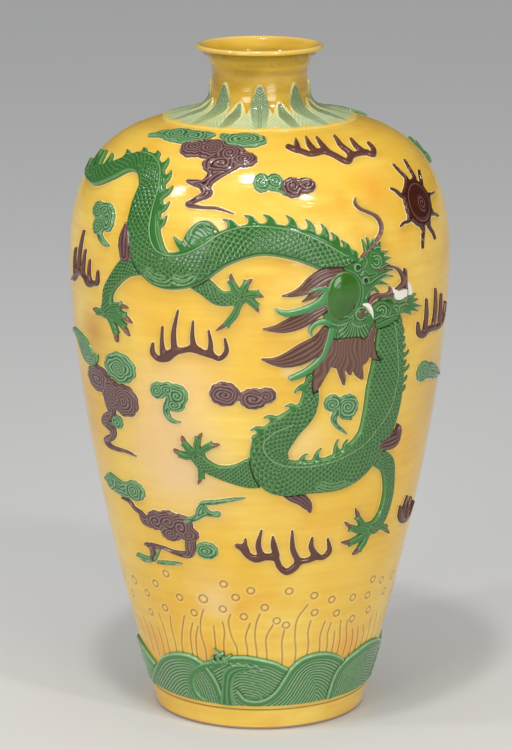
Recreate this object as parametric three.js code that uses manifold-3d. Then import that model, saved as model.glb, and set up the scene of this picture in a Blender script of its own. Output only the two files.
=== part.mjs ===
// A tall shouldered vase of thrown and luted clay, dressed in raised dragons, clouds and waves.
// Millimetres, +Z up. The origin is the centre of the foot's underside, and -Y is the front.
//
// The wall is one line turned about Z. The ornament is rolled and cut flat, on a sheet measured in
// degrees round the wall and in tape-measure millimetres up it, and is then wrapped onto the wall.

import * as THREE from 'three';
import { mergeVertices } from 'three/addons/utils/BufferGeometryUtils.js';
import Module from 'manifold-3d';

const wasm = await Module();
wasm.setup();

// Outline of the wall, from the foot up: the radius at each level and the rise from there to the next
const FOOT_RADIUS = 78.7;
const BAND_HEIGHT = 19.2;
const BAND_TOP_RADIUS = 82.5;
const BELLY_RISE = 326.4;
const BELLY_RADIUS = 140.6;
const SHOULDER_RISE = 102.8;
const NECK_ROOT_RADIUS = 58.6;
const THROAT_RISE = 19.5;
const WAIST_RADIUS = 35.3;
const MOUTH_RISE = 32.1;
const MOUTH_RADIUS = 40.5;
const LIP_RADIUS = 46.7;
const LIP_BEAD = 3.8;
const LIP_WIDTH = 3.2;
const LIP_ROUNDING = 0.9;

const BELLY_HEIGHT = BAND_HEIGHT + BELLY_RISE;
const NECK_ROOT_HEIGHT = BELLY_HEIGHT + SHOULDER_RISE;
const WAIST_HEIGHT = NECK_ROOT_HEIGHT + THROAT_RISE;
const HEIGHT = WAIST_HEIGHT + MOUTH_RISE;

// How far each bend of the outline pulls on its curve, as a share of that curve's own rise
const FOOT_PULL = 0.206;
const FOOT_SPREAD = 0.345;
const BELLY_PULL_DOWN = 0.32;
const BELLY_PULL_UP = 0.965;
const BROW_REACH = 14.4;
const BROW_SLOPE = 0.35;
const THROAT_REACH = 8.9;
const THROAT_PULL = 0.855;
const MOUTH_PULL = 0.32;
const MOUTH_LEAN = 1.1;
const UNDERCUT_SLOPE = 0.7;

// Clay
const WALL = 7;
const NECK_WALL = 5.5;
const FLOOR = 10;
const FOOT_RECESS = 7;
const FOOT_RING = 8;
const FOOT_ROUNDING = 1.3;
const RECESS_BEVEL = 3;
const FLOOR_BEVEL = 4;
const GROOVE = 0.9;
const GROOVE_DROP = 2.7;

// Joints between the thrown sections: two at shares of the height, one a little below the neck's root
const BASE_SEAM = 0.34 * HEIGHT;
const BELLY_SEAM = 0.6 * HEIGHT;
const NECK_SEAM_DROP = 2;
const NECK_SEAM = NECK_ROOT_HEIGHT - NECK_SEAM_DROP;
const LAP = 4;
const GAP = 0.3;

// The ornament's own clearances and heights above the wall
const SEAT = 0.6;
const CUT = 0.45;
const TRUNK_RISE = 4.6;
const HEAD_RISE = 5.4;
const LIMB_RISE = 3.4;
const HAIR_RISE = 3.0;
const FIN_RISE = 2.2;
const CLOUD_RISE = 2.3;
const FLAME_RISE = 2.1;
const WAVE_RISE = 2.3;
const LEAF_RISE = 1.9;

// The drawing counts rows up the wall, and was made for a belly of this share of the wall line's length
const ROW_COUNT = 557.9;
const BELLY_SHARE = 0.252;
const DRAGON_ROW = 330;

// Sizes inside the motifs
const FIN_LENGTH = 8.5;
const FIN_WIDTH = 6;
const FIN_ROOT = 3;
const TOE_WIDTH = 5;
const CLAW_WIDTH = 1.6;
const SUN_RADIUS = 18;
const RAY_LENGTH = 31;
const RAY_WIDTH = 6.5;
const TONGUE_WIDTH = 4.2;

// Girdles, in rows: where they start and end, and how fast their edges fall with the square of the turn
const WAVE_LIFT = 1;
const WAVE_SLOPE = 0.033;
const COLLAR_ROW = 485;
const LEAF_COUNT = 8;
const LONG_LEAF_ROW = 540;
const SHORT_LEAF_ROW = 527;
const LONG_LEAF_SLOPE = 0.16;
const SHORT_LEAF_SLOPE = 0.12;

// Facets
const SIDES = 32;
const LOBE_SIDES = 7;
const SAG = 0.5;
const LEAF_COLUMNS = 6;
const LEAF_STEPS = 4;
const WAVE_COLUMNS = 54;
const LOBE_SHOULDER = 0.8;

// Spacing of the outline's points along the wall, outside and inside
const BASE_SPACING = [50, 90];
const BELLY_SPACING = [44, 130];
const SHOULDER_SPACING = [22, 40];
const THROAT_SPACING = [6, 24];
const MOUTH_SPACING = [9, 24];

const YELLOW = { color: 0xe2ab2e, roughness: 0.22 };
const GREEN = { color: 0x2f7a3f, roughness: 0.24 };
const AUBERGINE = { color: 0x5b3731, roughness: 0.26 };
const PALE_GREEN = { color: 0xb7c58c, roughness: 0.24 };

const v2 = (x, y) => new THREE.Vector2(x, y);
const radians = THREE.MathUtils.degToRad;

/** The outer line of the wall, from the foot's edge to the underside of the lip. */
function makeWallLine() {
  const rise = BELLY_HEIGHT - BAND_HEIGHT;
  const spread = BELLY_RADIUS - BAND_TOP_RADIUS;
  const brow = NECK_ROOT_HEIGHT - BELLY_HEIGHT;
  const throat = WAIST_HEIGHT - NECK_ROOT_HEIGHT;
  const flare = lipUnderside() - WAIST_HEIGHT;
  const line = new THREE.Path();
  line.moveTo(FOOT_RADIUS, 0);
  line.lineTo(BAND_TOP_RADIUS, BAND_HEIGHT);
  line.bezierCurveTo(
    BAND_TOP_RADIUS + FOOT_SPREAD * spread, BAND_HEIGHT + FOOT_PULL * rise,
    BELLY_RADIUS, BELLY_HEIGHT - BELLY_PULL_DOWN * rise,
    BELLY_RADIUS, BELLY_HEIGHT);
  line.bezierCurveTo(
    BELLY_RADIUS, BELLY_HEIGHT + BELLY_PULL_UP * brow,
    NECK_ROOT_RADIUS + BROW_REACH, NECK_ROOT_HEIGHT - BROW_REACH * BROW_SLOPE,
    NECK_ROOT_RADIUS, NECK_ROOT_HEIGHT);
  line.bezierCurveTo(
    NECK_ROOT_RADIUS - THROAT_REACH, NECK_ROOT_HEIGHT + THROAT_REACH * BROW_SLOPE,
    WAIST_RADIUS, WAIST_HEIGHT - THROAT_PULL * throat,
    WAIST_RADIUS, WAIST_HEIGHT);
  line.bezierCurveTo(
    WAIST_RADIUS, WAIST_HEIGHT + MOUTH_PULL * flare / 4,
    MOUTH_RADIUS - MOUTH_PULL * flare * MOUTH_LEAN, lipUnderside() - MOUTH_PULL * flare,
    MOUTH_RADIUS, lipUnderside());
  return line;
}

/** Height of the undercut below the rolled lip. */
function lipUnderside() {
  return HEIGHT - LIP_BEAD - (LIP_RADIUS - MOUTH_RADIUS) * UNDERCUT_SLOPE;
}

const wallLine = makeWallLine();
const wallLength = wallLine.getLength();
const row = wallLength / ROW_COUNT;

/** A point on the wall: tape distance up from the foot, and height off the wall's skin. */
function onWall(tape, off = 0) {
  const t = THREE.MathUtils.clamp(tape / wallLength, 0, 1);
  const point = wallLine.getPoint(t);
  const along = wallLine.getTangent(t);
  return v2(point.x + along.y * off, point.y - along.x * off);
}

/** Tape distance at which the wall line reaches a height. */
function tapeAtHeight(height) {
  let low = 0;
  let high = wallLength;
  for (let i = 0; i < 40; i += 1) {
    const middle = (low + high) / 2;
    if (onWall(middle).y < height) low = middle;
    else high = middle;
  }
  return (low + high) / 2;
}

/** Points at about even spacing from one tape distance to another. */
function wallRun(from, to, spacing, off) {
  const count = Math.max(1, Math.round(Math.abs(to - from) / spacing));
  const points = [];
  for (let i = 0; i <= count; i += 1) points.push(onWall(from + (to - from) * i / count, off));
  return points;
}

/** A closed outline in radius and height, turned about Z. */
function turned(outline, sides = SIDES) {
  const geometry = new THREE.LatheGeometry(outline, sides);
  geometry.rotateX(Math.PI / 2);
  return geometry;
}

/** The stepped top of a section: its inner half stands up as a tongue. */
function tongue(seam, thickness) {
  return [
    onWall(seam - GAP / 2, 0),
    onWall(seam - GAP / 2, -(thickness + GAP) / 2),
    onWall(seam + LAP, -(thickness + GAP) / 2),
    onWall(seam + LAP, -thickness),
  ];
}

/** The stepped bottom of the section above, rebated over that tongue. */
function rebate(seam, thickness) {
  return [
    onWall(seam + LAP + GAP, -thickness),
    onWall(seam + LAP + GAP, -(thickness - GAP) / 2),
    onWall(seam + GAP / 2, -(thickness - GAP) / 2),
    onWall(seam + GAP / 2, 0),
  ];
}

/** The thrown base: foot ring, recessed underside, plain band and the start of the wall. */
function makeBase() {
  const seam = tapeAtHeight(BASE_SEAM);
  const band = tapeAtHeight(BAND_HEIGHT);
  const inside = tapeAtHeight(FOOT_RECESS + FLOOR);
  const ringInside = FOOT_RADIUS - FOOT_RING;
  const corner = onWall(inside, -WALL);
  const groove = band - GROOVE_DROP;
  const outline = [
    v2(0, FOOT_RECESS),
    v2(ringInside - RECESS_BEVEL, FOOT_RECESS),
    v2(ringInside, FOOT_RECESS - RECESS_BEVEL),
    v2(ringInside, 0),
    v2(FOOT_RADIUS - FOOT_ROUNDING, 0),
    onWall(FOOT_ROUNDING),
    onWall(groove - 1.5 * GROOVE),
    onWall(groove - 0.5 * GROOVE, -GROOVE),
    onWall(groove + 0.5 * GROOVE, -GROOVE),
    onWall(groove + 1.5 * GROOVE),
    ...wallRun(band, seam - GAP / 2, BASE_SPACING[0], 0).slice(0, -1),
    ...tongue(seam, WALL),
    ...wallRun(seam - LAP, inside + 2 * FLOOR_BEVEL, BASE_SPACING[1], -WALL),
    v2(corner.x - FLOOR_BEVEL, FOOT_RECESS + FLOOR),
    v2(0, FOOT_RECESS + FLOOR),
  ];
  return turned(outline);
}

/** A thrown ring of wall between two seams. */
function makeRing(bottom, top, [outside, inside]) {
  const low = tapeAtHeight(bottom);
  const high = tapeAtHeight(top);
  const outline = [
    ...rebate(low, WALL),
    ...wallRun(low + GAP / 2, high - GAP / 2, outside, 0).slice(1, -1),
    ...tongue(high, WALL),
    ...wallRun(high - LAP, low + 3 * LAP, inside, -WALL),
  ];
  outline.push(outline[0].clone());
  return turned(outline);
}

/** The neck: flared from the shoulder, drawn in at the waist, with a rolled lip. */
function makeNeck() {
  const low = tapeAtHeight(NECK_SEAM);
  const waist = tapeAtHeight(WAIST_HEIGHT);
  const top = wallLength;
  const bead = HEIGHT - LIP_BEAD;
  const inner = LIP_RADIUS - LIP_WIDTH;
  const outline = [
    ...rebate(low, WALL),
    ...wallRun(low + GAP / 2, waist, THROAT_SPACING[0], 0).slice(1),
    ...wallRun(waist, top, MOUTH_SPACING[0], 0).slice(1),
    v2(LIP_RADIUS - LIP_ROUNDING, bead),
    v2(LIP_RADIUS, bead + LIP_ROUNDING),
    v2(LIP_RADIUS, HEIGHT - LIP_ROUNDING),
    v2(LIP_RADIUS - LIP_ROUNDING, HEIGHT),
    v2(inner, HEIGHT),
    v2(inner - 2 * LIP_ROUNDING, HEIGHT - 2 * LIP_ROUNDING),
    onWall(top - LIP_ROUNDING, -NECK_WALL),
    ...wallRun(top - MOUTH_SPACING[1] / 2, waist, MOUTH_SPACING[1], -NECK_WALL),
    ...wallRun(waist - THROAT_SPACING[1] / 2, low + 3 * LAP, THROAT_SPACING[1], -WALL),
  ];
  outline.push(outline[0].clone());
  return turned(outline);
}

/** A closed geometry as a solid that can be joined and cut. */
function toSolid(geometry) {
  const bare = geometry.clone();
  bare.deleteAttribute('normal');
  bare.deleteAttribute('uv');
  const merged = mergeVertices(bare, 1e-4);
  const corners = merged.index.array;
  const kept = [];
  for (let i = 0; i < corners.length; i += 3) {
    const [a, b, c] = [corners[i], corners[i + 1], corners[i + 2]];
    if (a !== b && b !== c && c !== a) kept.push(a, b, c);
  }
  return new wasm.Manifold(new wasm.Mesh({
    numProp: 3,
    vertProperties: new Float32Array(merged.attributes.position.array),
    triVerts: new Uint32Array(kept),
  }));
}

/** A solid's triangles, each as its three corners. */
function trianglesOf(solid) {
  const { vertProperties, triVerts } = solid.getMesh();
  const corner = (i) => new THREE.Vector3().fromArray(vertProperties, 3 * triVerts[i]);
  const triangles = [];
  for (let i = 0; i < triVerts.length; i += 3) triangles.push([corner(i), corner(i + 1), corner(i + 2)]);
  return triangles;
}

const joined = (solids) => solids.reduce((all, next) => all.add(next));

/**
 * A flat sheet at one level of the wall, where a millimetre across is a millimetre round. Strokes
 * widen with the way in which the wall stretches the drawing most, so that they go on meeting.
 */
class Sheet {
  constructor(level) {
    this.degree = radians(1) * onWall(level * row).x;
    this.stroke = Math.max(row, BELLY_RADIUS / (BELLY_SHARE * ROW_COUNT));
  }

  /** A place drawn as a turn in degrees, a row and a width, in millimetres. */
  flat(turn, up, width = 0) {
    return new THREE.Vector3(turn * this.degree, up * row, width * this.stroke);
  }

  /** Where a place on the flat sheet comes to lie on the vase. */
  bend(place) {
    const turn = radians(place.x / this.degree);
    const point = onWall(place.y, place.z);
    return new THREE.Vector3(point.x * Math.sin(turn), -point.x * Math.cos(turn), point.y);
  }

  /** How far a straight edge would leave the wall's curve at its middle. */
  sag(a, b) {
    const middle = this.bend(a).add(this.bend(b)).multiplyScalar(0.5);
    return this.bend(a.clone().add(b).multiplyScalar(0.5)).distanceTo(middle);
  }

  /** Wraps a flat solid onto the wall, halving each triangle until its edges follow the curve. */
  wrap(solid) {
    const waiting = trianglesOf(solid);
    const places = [];
    while (waiting.length > 0) {
      const corners = waiting.pop();
      const sags = corners.map((corner, i) => this.sag(corner, corners[(i + 1) % 3]));
      const worst = sags.indexOf(Math.max(...sags));
      if (sags[worst] <= SAG) {
        for (const corner of corners) places.push(...this.bend(corner).toArray());
        continue;
      }
      const [a, b, c] = [corners[worst], corners[(worst + 1) % 3], corners[(worst + 2) % 3]];
      const middle = a.clone().add(b).multiplyScalar(0.5);
      waiting.push([a, middle, c], [middle, b, c]);
    }
    const geometry = new THREE.BufferGeometry();
    geometry.setAttribute('position', new THREE.Float32BufferAttribute(places, 3));
    return mergeVertices(geometry, 1e-4);
  }
}

// Sections carried along a band: places across it from -1 to 1, and up it from 0 to 1
const RIDGE = [[-1, 0], [1, 0], [0, 1]];
const FLAT_TOP = [[-1, 0], [1, 0], [0.62, 1], [-0.62, 1]];
const ROUNDED = [[-1, 0], [1, 0], [0.86, 0.62], [0, 1], [-0.86, 0.62]];
const SQUARE = [[-1, 0], [1, 0], [1, 1], [-1, 1]];

/** The sheet's line through a list of stops, each a turn, a height up the tape and a width. */
function lineThrough(sheet, stops) {
  return new THREE.CatmullRomCurve3(stops.map((stop) => sheet.flat(...stop)), false, 'centripetal');
}

/** A place on such a line, with the direction to its left and half its width there. */
function station(line, t) {
  const place = line.getPoint(t);
  const along = line.getTangent(t);
  const left = v2(-along.y, along.x).normalize();
  return { place: v2(place.x, place.y), left, half: Math.max(place.z, 0.8) / 2 };
}

/**
 * A closed strip of clay along a line, with one section carried from end to end. Where grow is
 * given, it is a straight-sided cutter that leaves that much room round the strip.
 */
function strip(line, shape, rise, steps, grow = 0) {
  const section = grow > 0 ? SQUARE : shape;
  const low = SEAT - 2 * grow;
  const high = rise + 2 * grow;
  const ring = section.length;
  const places = [];
  for (let i = 0; i <= steps; i += 1) {
    const { place, left, half } = station(line, i / steps);
    const ahead = i === 0 ? grow : i === steps ? -grow : 0;
    for (const [across, up] of section) {
      const side = -across * (half + grow);
      const x = place.x + left.x * side - left.y * ahead;
      const y = place.y + left.y * side + left.x * ahead;
      places.push(x, y, low + (high - low) * up);
    }
  }
  const corners = [];
  for (let i = 0; i < steps; i += 1) {
    for (let j = 0; j < ring; j += 1) {
      const a = i * ring + j;
      const b = i * ring + (j + 1) % ring;
      corners.push(a, a + ring, b, b, a + ring, b + ring);
    }
  }
  const last = steps * ring;
  for (let j = 1; j < ring - 1; j += 1) {
    corners.push(0, j, j + 1);
    corners.push(last, last + j + 1, last + j);
  }
  const geometry = new THREE.BufferGeometry();
  geometry.setAttribute('position', new THREE.Float32BufferAttribute(places, 3));
  geometry.setIndex(corners);
  return toSolid(geometry);
}

/** A strip through stops, as one call. */
function band(sheet, stops, section, rise, grow = 0, finer = 1) {
  return strip(lineThrough(sheet, stops), section, rise, (stops.length - 1) * finer, grow);
}

/** A low round-edged lobe of clay, half-sizes in degrees round and rows up. */
function lobe(sheet, turn, up, wide, tall, rise, grow = 0) {
  const low = SEAT - 2 * grow;
  const high = rise + 2 * grow;
  const shoulder = grow > 0 ? 1 : LOBE_SHOULDER;
  const geometry = new THREE.LatheGeometry(
    [v2(0, low), v2(1, low), v2(shoulder, high), v2(0, high)], LOBE_SIDES);
  const centre = sheet.flat(turn, up);
  geometry.rotateX(Math.PI / 2);
  geometry.scale(wide * sheet.degree + grow, tall * row + grow, 1);
  geometry.translate(centre.x, centre.y, 0);
  return toSolid(geometry);
}

/** Hooked fins along one side of a strip: side is 1 for its left, -1 for its right. */
function fins(line, side, from, to, count, grow) {
  const made = [];
  for (let i = 0; i < count; i += 1) {
    const { place, left, half } = station(line, from + (to - from) * i / (count - 1));
    const back = v2(-left.y, left.x);
    const out = left.clone().multiplyScalar(side);
    const root = place.clone().addScaledVector(out, half - FIN_ROOT);
    const tip = place.clone().addScaledVector(out, half + FIN_LENGTH);
    tip.addScaledVector(back, FIN_LENGTH * 0.4);
    const fin = new THREE.LineCurve3(
      new THREE.Vector3(root.x, root.y, FIN_WIDTH),
      new THREE.Vector3(tip.x, tip.y, CLAW_WIDTH));
    made.push(strip(fin, RIDGE, FIN_RISE, 1, grow));
  }
  return made;
}

/** A foot: toes that spread from one place to each claw's tip. */
function toes(sheet, heel, tips, grow) {
  return tips.map(([turn, up]) => {
    const middle = [(heel[0] + turn) / 2, (heel[1] + up) / 2 + 1, TOE_WIDTH];
    const stops = [[heel[0], heel[1], TOE_WIDTH], middle, [turn, up, CLAW_WIDTH]];
    return band(sheet, stops, RIDGE, LIMB_RISE - 0.6, grow);
  });
}

const REAR_TRUNK = [
  [-74, 419, 13], [-66, 419.5, 17], [-58, 426.5, 18], [-50, 437, 18], [-43, 435, 20], [-37.5, 422, 24],
  [-37, 402, 28], [-36, 382, 29], [-30, 364, 28], [-21, 365, 27], [-11, 379.5, 25], [0, 386.5, 23],
  [11, 382.5, 23], [20, 373, 22], [28, 362, 17],
];
const FRONT_TRUNK = [
  [39, 333, 17], [41, 318, 24], [41.2, 300, 28], [41.2, 275, 36], [40.5, 252, 36], [37.5, 232, 32],
  [29, 215, 31], [16, 210.5, 26], [5, 214, 30], [3, 232, 30], [8, 249, 23], [14, 262, 16],
  [15.3, 274, 13], [15.2, 286, 8],
];
const TAIL_TUFTS = [
  [[-72, 419, 12], [-77, 425, 11], [-83, 437, 2]],
  [[-73, 422, 9], [-75, 432, 7], [-78, 443, 2]],
];

function rearTrunk(sheet, grow = 0) {
  const line = lineThrough(sheet, REAR_TRUNK);
  return joined([
    strip(line, ROUNDED, TRUNK_RISE, 18, grow),
    ...fins(line, 1, 0.08, 0.92, 9, grow),
    ...TAIL_TUFTS.map((stops) => band(sheet, stops, RIDGE, HAIR_RISE, grow)),
  ]);
}

function frontTrunk(sheet, grow = 0) {
  const line = lineThrough(sheet, FRONT_TRUNK);
  return joined([
    strip(line, ROUNDED, TRUNK_RISE, 15, grow),
    ...fins(line, 1, 0.1, 0.24, 2, grow),
    ...fins(line, -1, 0.5, 0.62, 2, grow),
    ...fins(line, 1, 0.76, 0.96, 4, grow),
  ]);
}

/** A leg from haunch to foot, with its toes and the tuft behind its elbow where it has one. */
function leg(sheet, { limb, tips, tuft }, grow = 0) {
  const heel = limb[limb.length - 1];
  const pieces = [band(sheet, limb, FLAT_TOP, LIMB_RISE, grow), ...toes(sheet, heel, tips, grow)];
  if (tuft) pieces.push(band(sheet, tuft, RIDGE, HAIR_RISE, grow));
  return joined(pieces);
}

const LEGS = {
  hind_leg_outer: {
    limb: [[-39, 368, 18], [-43.5, 358, 13], [-48.5, 345, 10], [-50, 334, 10], [-51, 326, 11]],
    tips: [[-57.5, 325], [-42.5, 331], [-40.5, 320], [-41.5, 311], [-46.5, 306]],
    tuft: [[-42, 366, 8], [-44.5, 378, 15], [-43.5, 392, 6]],
  },
  hind_leg_inner: {
    limb: [[-18, 358, 16], [-14, 349, 12], [-10, 344, 9], [-5, 346, 9]],
    tips: [[-8, 362], [-2, 358.5], [1, 347], [-1, 336], [-12.5, 327]],
  },
  fore_leg_left: {
    limb: [[-1, 212, 17], [-10, 215, 9], [-17, 219, 8], [-20, 224, 10]],
    tips: [[-24.5, 240], [-18, 244], [-13, 238], [-27.5, 229], [-20, 205]],
  },
  fore_leg_right: {
    limb: [[41, 219, 12], [47, 211, 14], [49, 196, 12], [49.5, 176, 11], [48, 164, 10], [43, 161, 10]],
    tips: [[35, 180], [31.5, 171], [31, 156], [36, 143], [54, 153]],
    tuft: [[41, 219, 10], [44, 229, 15], [49, 237, 5]],
  },
};

function head(sheet, grow = 0) {
  return joined([
    lobe(sheet, 24, 347, 5.2, 14.5, HEAD_RISE, grow),
    lobe(sheet, 28, 321, 6, 12, LIMB_RISE, grow),
    lobe(sheet, 29, 357, 3.6, 9, LIMB_RISE + 0.8, grow),
    band(sheet, [[25, 355, 12], [31, 363, 11], [35, 369, 9], [38, 378, 3]], FLAT_TOP, LIMB_RISE, grow),
    band(sheet, [[29, 358, 10], [36, 362, 7], [43, 360, 3.4], [46.5, 350, 2]], RIDGE, LIMB_RISE, grow),
    band(sheet, [[26, 330, 14], [33, 333, 8], [40, 337.5, 8], [49, 339, 8]], FLAT_TOP, LIMB_RISE, grow),
    band(sheet, [[47, 339, 7], [51, 332, 6], [54.5, 326, 2]], RIDGE, HAIR_RISE, grow),
  ]);
}

/** Locks of hair and two horns that lie back from the head, held together along its nape. */
function maneAndHorns(sheet, grow = 0) {
  const locks = [
    [[21, 368, 5], [14, 358, 9], [7.5, 348, 2]],
    [[18.4, 345, 6], [13, 337.5, 5], [5, 336.5, 3]],
    [[18.4, 336, 8], [10, 327, 10], [2, 322, 2.4]],
    [[18.4, 322, 8], [12, 307, 15], [2, 300, 2.4]],
    [[19, 318, 6], [17, 301, 5], [13, 290, 6], [9.5, 287, 3]],
    [[21, 306, 12], [18, 291, 9], [17.2, 279, 3]],
    [[24.5, 301, 12], [24.5, 292, 8], [26, 283, 2]],
    [[29, 302, 12], [30.5, 294, 9], [31, 286, 3]],
    [[31, 306, 12], [34, 300, 7], [37, 296, 2]],
  ];
  const nape = [[21.5, 367, 4], [18, 358, 3.5], [17.6, 340, 4], [18.4, 322, 6], [21, 304, 12]];
  const beard = [[20, 303, 14], [27, 303, 14], [34.5, 310, 6], [35, 320, 2]];
  return joined([
    band(sheet, nape, FLAT_TOP, HAIR_RISE, grow),
    band(sheet, beard, FLAT_TOP, HAIR_RISE, grow),
    ...locks.map((stops) => band(sheet, stops, RIDGE, HAIR_RISE, grow)),
  ]);
}

const WHISKER = [
  [32.5, 373.5, 3], [35.5, 381, 2.6], [38.3, 388, 2.4], [37.5, 397, 2.3], [33, 403.5, 2], [31, 412, 1.4],
];
const BELLY_TUFT = [[7, 203, 7], [12, 197, 11], [17, 185, 3]];

const FLAMES = {
  flame_shoulder: {
    foot: [[12.5, 461], [16, 456], [20, 451], [26, 452.5], [29.5, 449], [33.5, 441], [37.5, 447], [43, 447],
      [47.5, 444], [51, 457]],
    tongues: [[[15.5, 457], [17, 470]], [[22.5, 452], [22.5, 472]], [[27, 452], [28, 470]],
      [[36.5, 445], [36, 457], [38, 470]], [[43.5, 447], [43, 455], [44.5, 463]]],
  },
  flame_left: {
    foot: [[-75, 338], [-70, 344], [-65, 347], [-61.5, 341], [-55.5, 347]],
    tongues: [[[-72, 342], [-71, 352], [-71.5, 363]], [[-67, 346], [-66, 362], [-65.5, 377]],
      [[-64, 346], [-63, 364]], [[-60, 342], [-60, 358]], [[-56, 345], [-55, 354]]],
  },
  flame_middle: {
    foot: [[-33, 309], [-32.5, 299], [-29, 299], [-25, 304], [-20, 306], [-14, 302], [-11, 304],
      [-10.3, 316]],
    tongues: [[[-29, 299], [-30, 309], [-29.7, 322]], [[-25.5, 303], [-25.8, 316], [-24.5, 334]],
      [[-19.5, 306], [-19.6, 327]], [[-14.4, 303], [-15, 321]]],
  },
  flame_low: {
    foot: [[-7, 156], [-3.5, 147], [1, 146.5], [5.5, 147], [10, 135], [14.5, 141], [17, 143.5], [22, 145],
      [26.3, 148], [25, 158]],
    tongues: [[[-5, 151], [-5.3, 161]], [[0.5, 148], [0, 158], [0.5, 168]], [[6, 149], [4.8, 163]],
      [[14.6, 141], [12, 155], [11.5, 167]], [[20.5, 145], [18.7, 161]]],
  },
  flame_right: {
    foot: [[54.3, 315], [57, 306], [62, 308], [66, 306], [71, 307], [74.5, 322]],
    tongues: [[[58.6, 307], [59, 319], [58.4, 331]], [[64, 307], [64.6, 321], [64, 336]],
      [[69.5, 307], [69.6, 318], [69, 330]]],
  },
  flame_low_right: {
    foot: [[60, 172], [62.5, 161], [66, 157.5], [70, 158], [73, 168]],
    tongues: [[[63.5, 160], [64, 177]], [[67.5, 158], [68.3, 174]]],
  },
};

/** A flame: a swinging foot with tapering tongues that stand up from it. */
function flame(sheet, { foot, tongues }) {
  const last = foot.length - 1;
  const base = foot.map(([turn, up], i) => [turn, up, i === 0 || i === last ? CLAW_WIDTH : TONGUE_WIDTH]);
  const licks = tongues.map((stops) => {
    const end = stops.length - 1;
    const tapered = stops.map(([turn, up], i) => [turn, up, i === end ? CLAW_WIDTH : TONGUE_WIDTH]);
    return band(sheet, tapered, RIDGE, FLAME_RISE);
  });
  return joined([band(sheet, base, RIDGE, FLAME_RISE), ...licks]);
}

const SUN = { turn: 58.5, up: 403, rays: [109, 74, 41, 2, -33, -66, -100, -151, 156] };

/** The sun: a round boss ringed by bent rays. */
function sun(sheet) {
  const [wide, tall] = [SUN_RADIUS / sheet.degree, SUN_RADIUS / row];
  const pieces = [lobe(sheet, SUN.turn, SUN.up, wide, tall, CLOUD_RISE)];
  const centre = sheet.flat(SUN.turn, SUN.up);
  const reaches = [[SUN_RADIUS * 0.7, 5, RAY_WIDTH], [RAY_LENGTH, 0, CLAW_WIDTH]];
  for (const angle of SUN.rays) {
    const stops = reaches.map(([reach, bend, width]) => new THREE.Vector3(
      centre.x + reach * Math.cos(radians(angle + bend)),
      centre.y + reach * Math.sin(radians(angle + bend)),
      width));
    pieces.push(strip(new THREE.LineCurve3(...stops), RIDGE, FLAME_RISE, 1));
  }
  return joined(pieces);
}

// Clouds: lobes are a turn, a height and half-sizes; trails are stops with a width
const CLOUDS = {
  cloud_crown: {
    glaze: AUBERGINE,
    lobes: [[-27, 459, 7.2, 10], [-15.5, 456, 8, 9.5], [-7.5, 449, 6, 8.5], [-15, 440, 5, 8]],
    trails: [[[-59, 464, 4], [-49, 470, 14], [-34, 467, 20], [-25, 474, 10]],
      [[-20, 471, 12], [-8, 470, 18], [3.5, 469, 11]],
      [[-14, 438, 10], [-19, 430, 7], [-17, 421, 5], [-21, 412, 4], [-16, 407, 3], [-8, 404.5, 1.6]]],
  },
  cloud_pair: {
    glaze: GREEN,
    lobes: [[0.4, 429, 3.2, 6.5], [4.6, 425, 3.2, 6.5], [10.4, 423, 3.4, 7], [15.4, 422.5, 3.4, 6.5]],
    trails: [],
  },
  cloud_upper: {
    glaze: GREEN,
    lobes: [[-58, 395, 3, 6], [-52.5, 394, 3.2, 6.5], [-55.5, 388, 3.2, 6.5]],
    trails: [[[-56, 388, 7], [-55.5, 380, 5], [-51, 374, 2]]],
  },
  cloud_cluster: {
    glaze: AUBERGINE,
    lobes: [[-60, 271, 6.4, 10], [-50.5, 264, 6.5, 11.5], [-46, 260, 5.4, 11], [-47.2, 284, 6.4, 11.6]],
    trails: [[[-77, 298, 5], [-70, 292, 12], [-64, 285, 13], [-59, 277, 9]],
      [[-53, 258, 12], [-56, 246, 7], [-60, 239, 6], [-54.5, 233, 7], [-60.5, 222.5, 6], [-52, 219.5, 3.2],
        [-44.5, 218, 1.6]],
      [[-56.5, 239, 5], [-50, 243.5, 7]]],
  },
  cloud_middle: {
    glaze: GREEN,
    lobes: [[-32, 273, 3.2, 6.5], [-26.2, 271, 4, 9]],
    trails: [[[-28, 266, 9], [-30, 258, 6], [-28.5, 252, 4], [-25.4, 250.6, 1.8]]],
  },
  cloud_twin: {
    glaze: AUBERGINE,
    lobes: [[-10.8, 274.5, 4.6, 9.5], [-1.2, 272, 5.6, 7.5]],
    trails: [],
  },
  cloud_in_loop: {
    glaze: GREEN,
    lobes: [[22.4, 266.5, 2.5, 6], [28, 261.5, 3.6, 8.5]],
    trails: [[[25, 264, 8], [23.4, 255, 4], [24.6, 248.5, 3.6], [26.6, 243.5, 1.6]]],
  },
  cloud_streak: {
    glaze: GREEN,
    lobes: [[-47.5, 190, 4.6, 7]],
    trails: [[[-66, 190.5, 5], [-60, 190, 13], [-54, 189.5, 11], [-47, 190, 12]]],
  },
  cloud_low: {
    glaze: AUBERGINE,
    lobes: [[-37, 168.5, 5, 8], [-31, 169, 5, 8.5], [-32, 161.5, 5, 6], [-27, 164, 4.2, 9],
      [-19.2, 151, 3.9, 6.8]],
    trails: [[[-56, 179.5, 2.4], [-50.5, 178.5, 3.4], [-47, 171.5, 4.5], [-43, 166.5, 8], [-38, 168, 9]],
      [[-28, 173, 7], [-22, 179, 6], [-19.5, 188, 5], [-12, 192, 3.6], [-5, 195, 1.6]],
      [[-26, 162, 8], [-26, 152, 8], [-27.5, 145, 6], [-34, 146, 4], [-41, 148, 4], [-43.5, 139, 6],
        [-52, 136, 4]],
      [[-27, 148, 5], [-21, 150, 5]]],
  },
  cloud_right: {
    glaze: GREEN,
    lobes: [[60, 277, 3.6, 7]],
    trails: [[[60, 276, 9], [66, 274, 13], [71, 270, 10], [77, 266, 3]]],
  },
};

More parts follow.
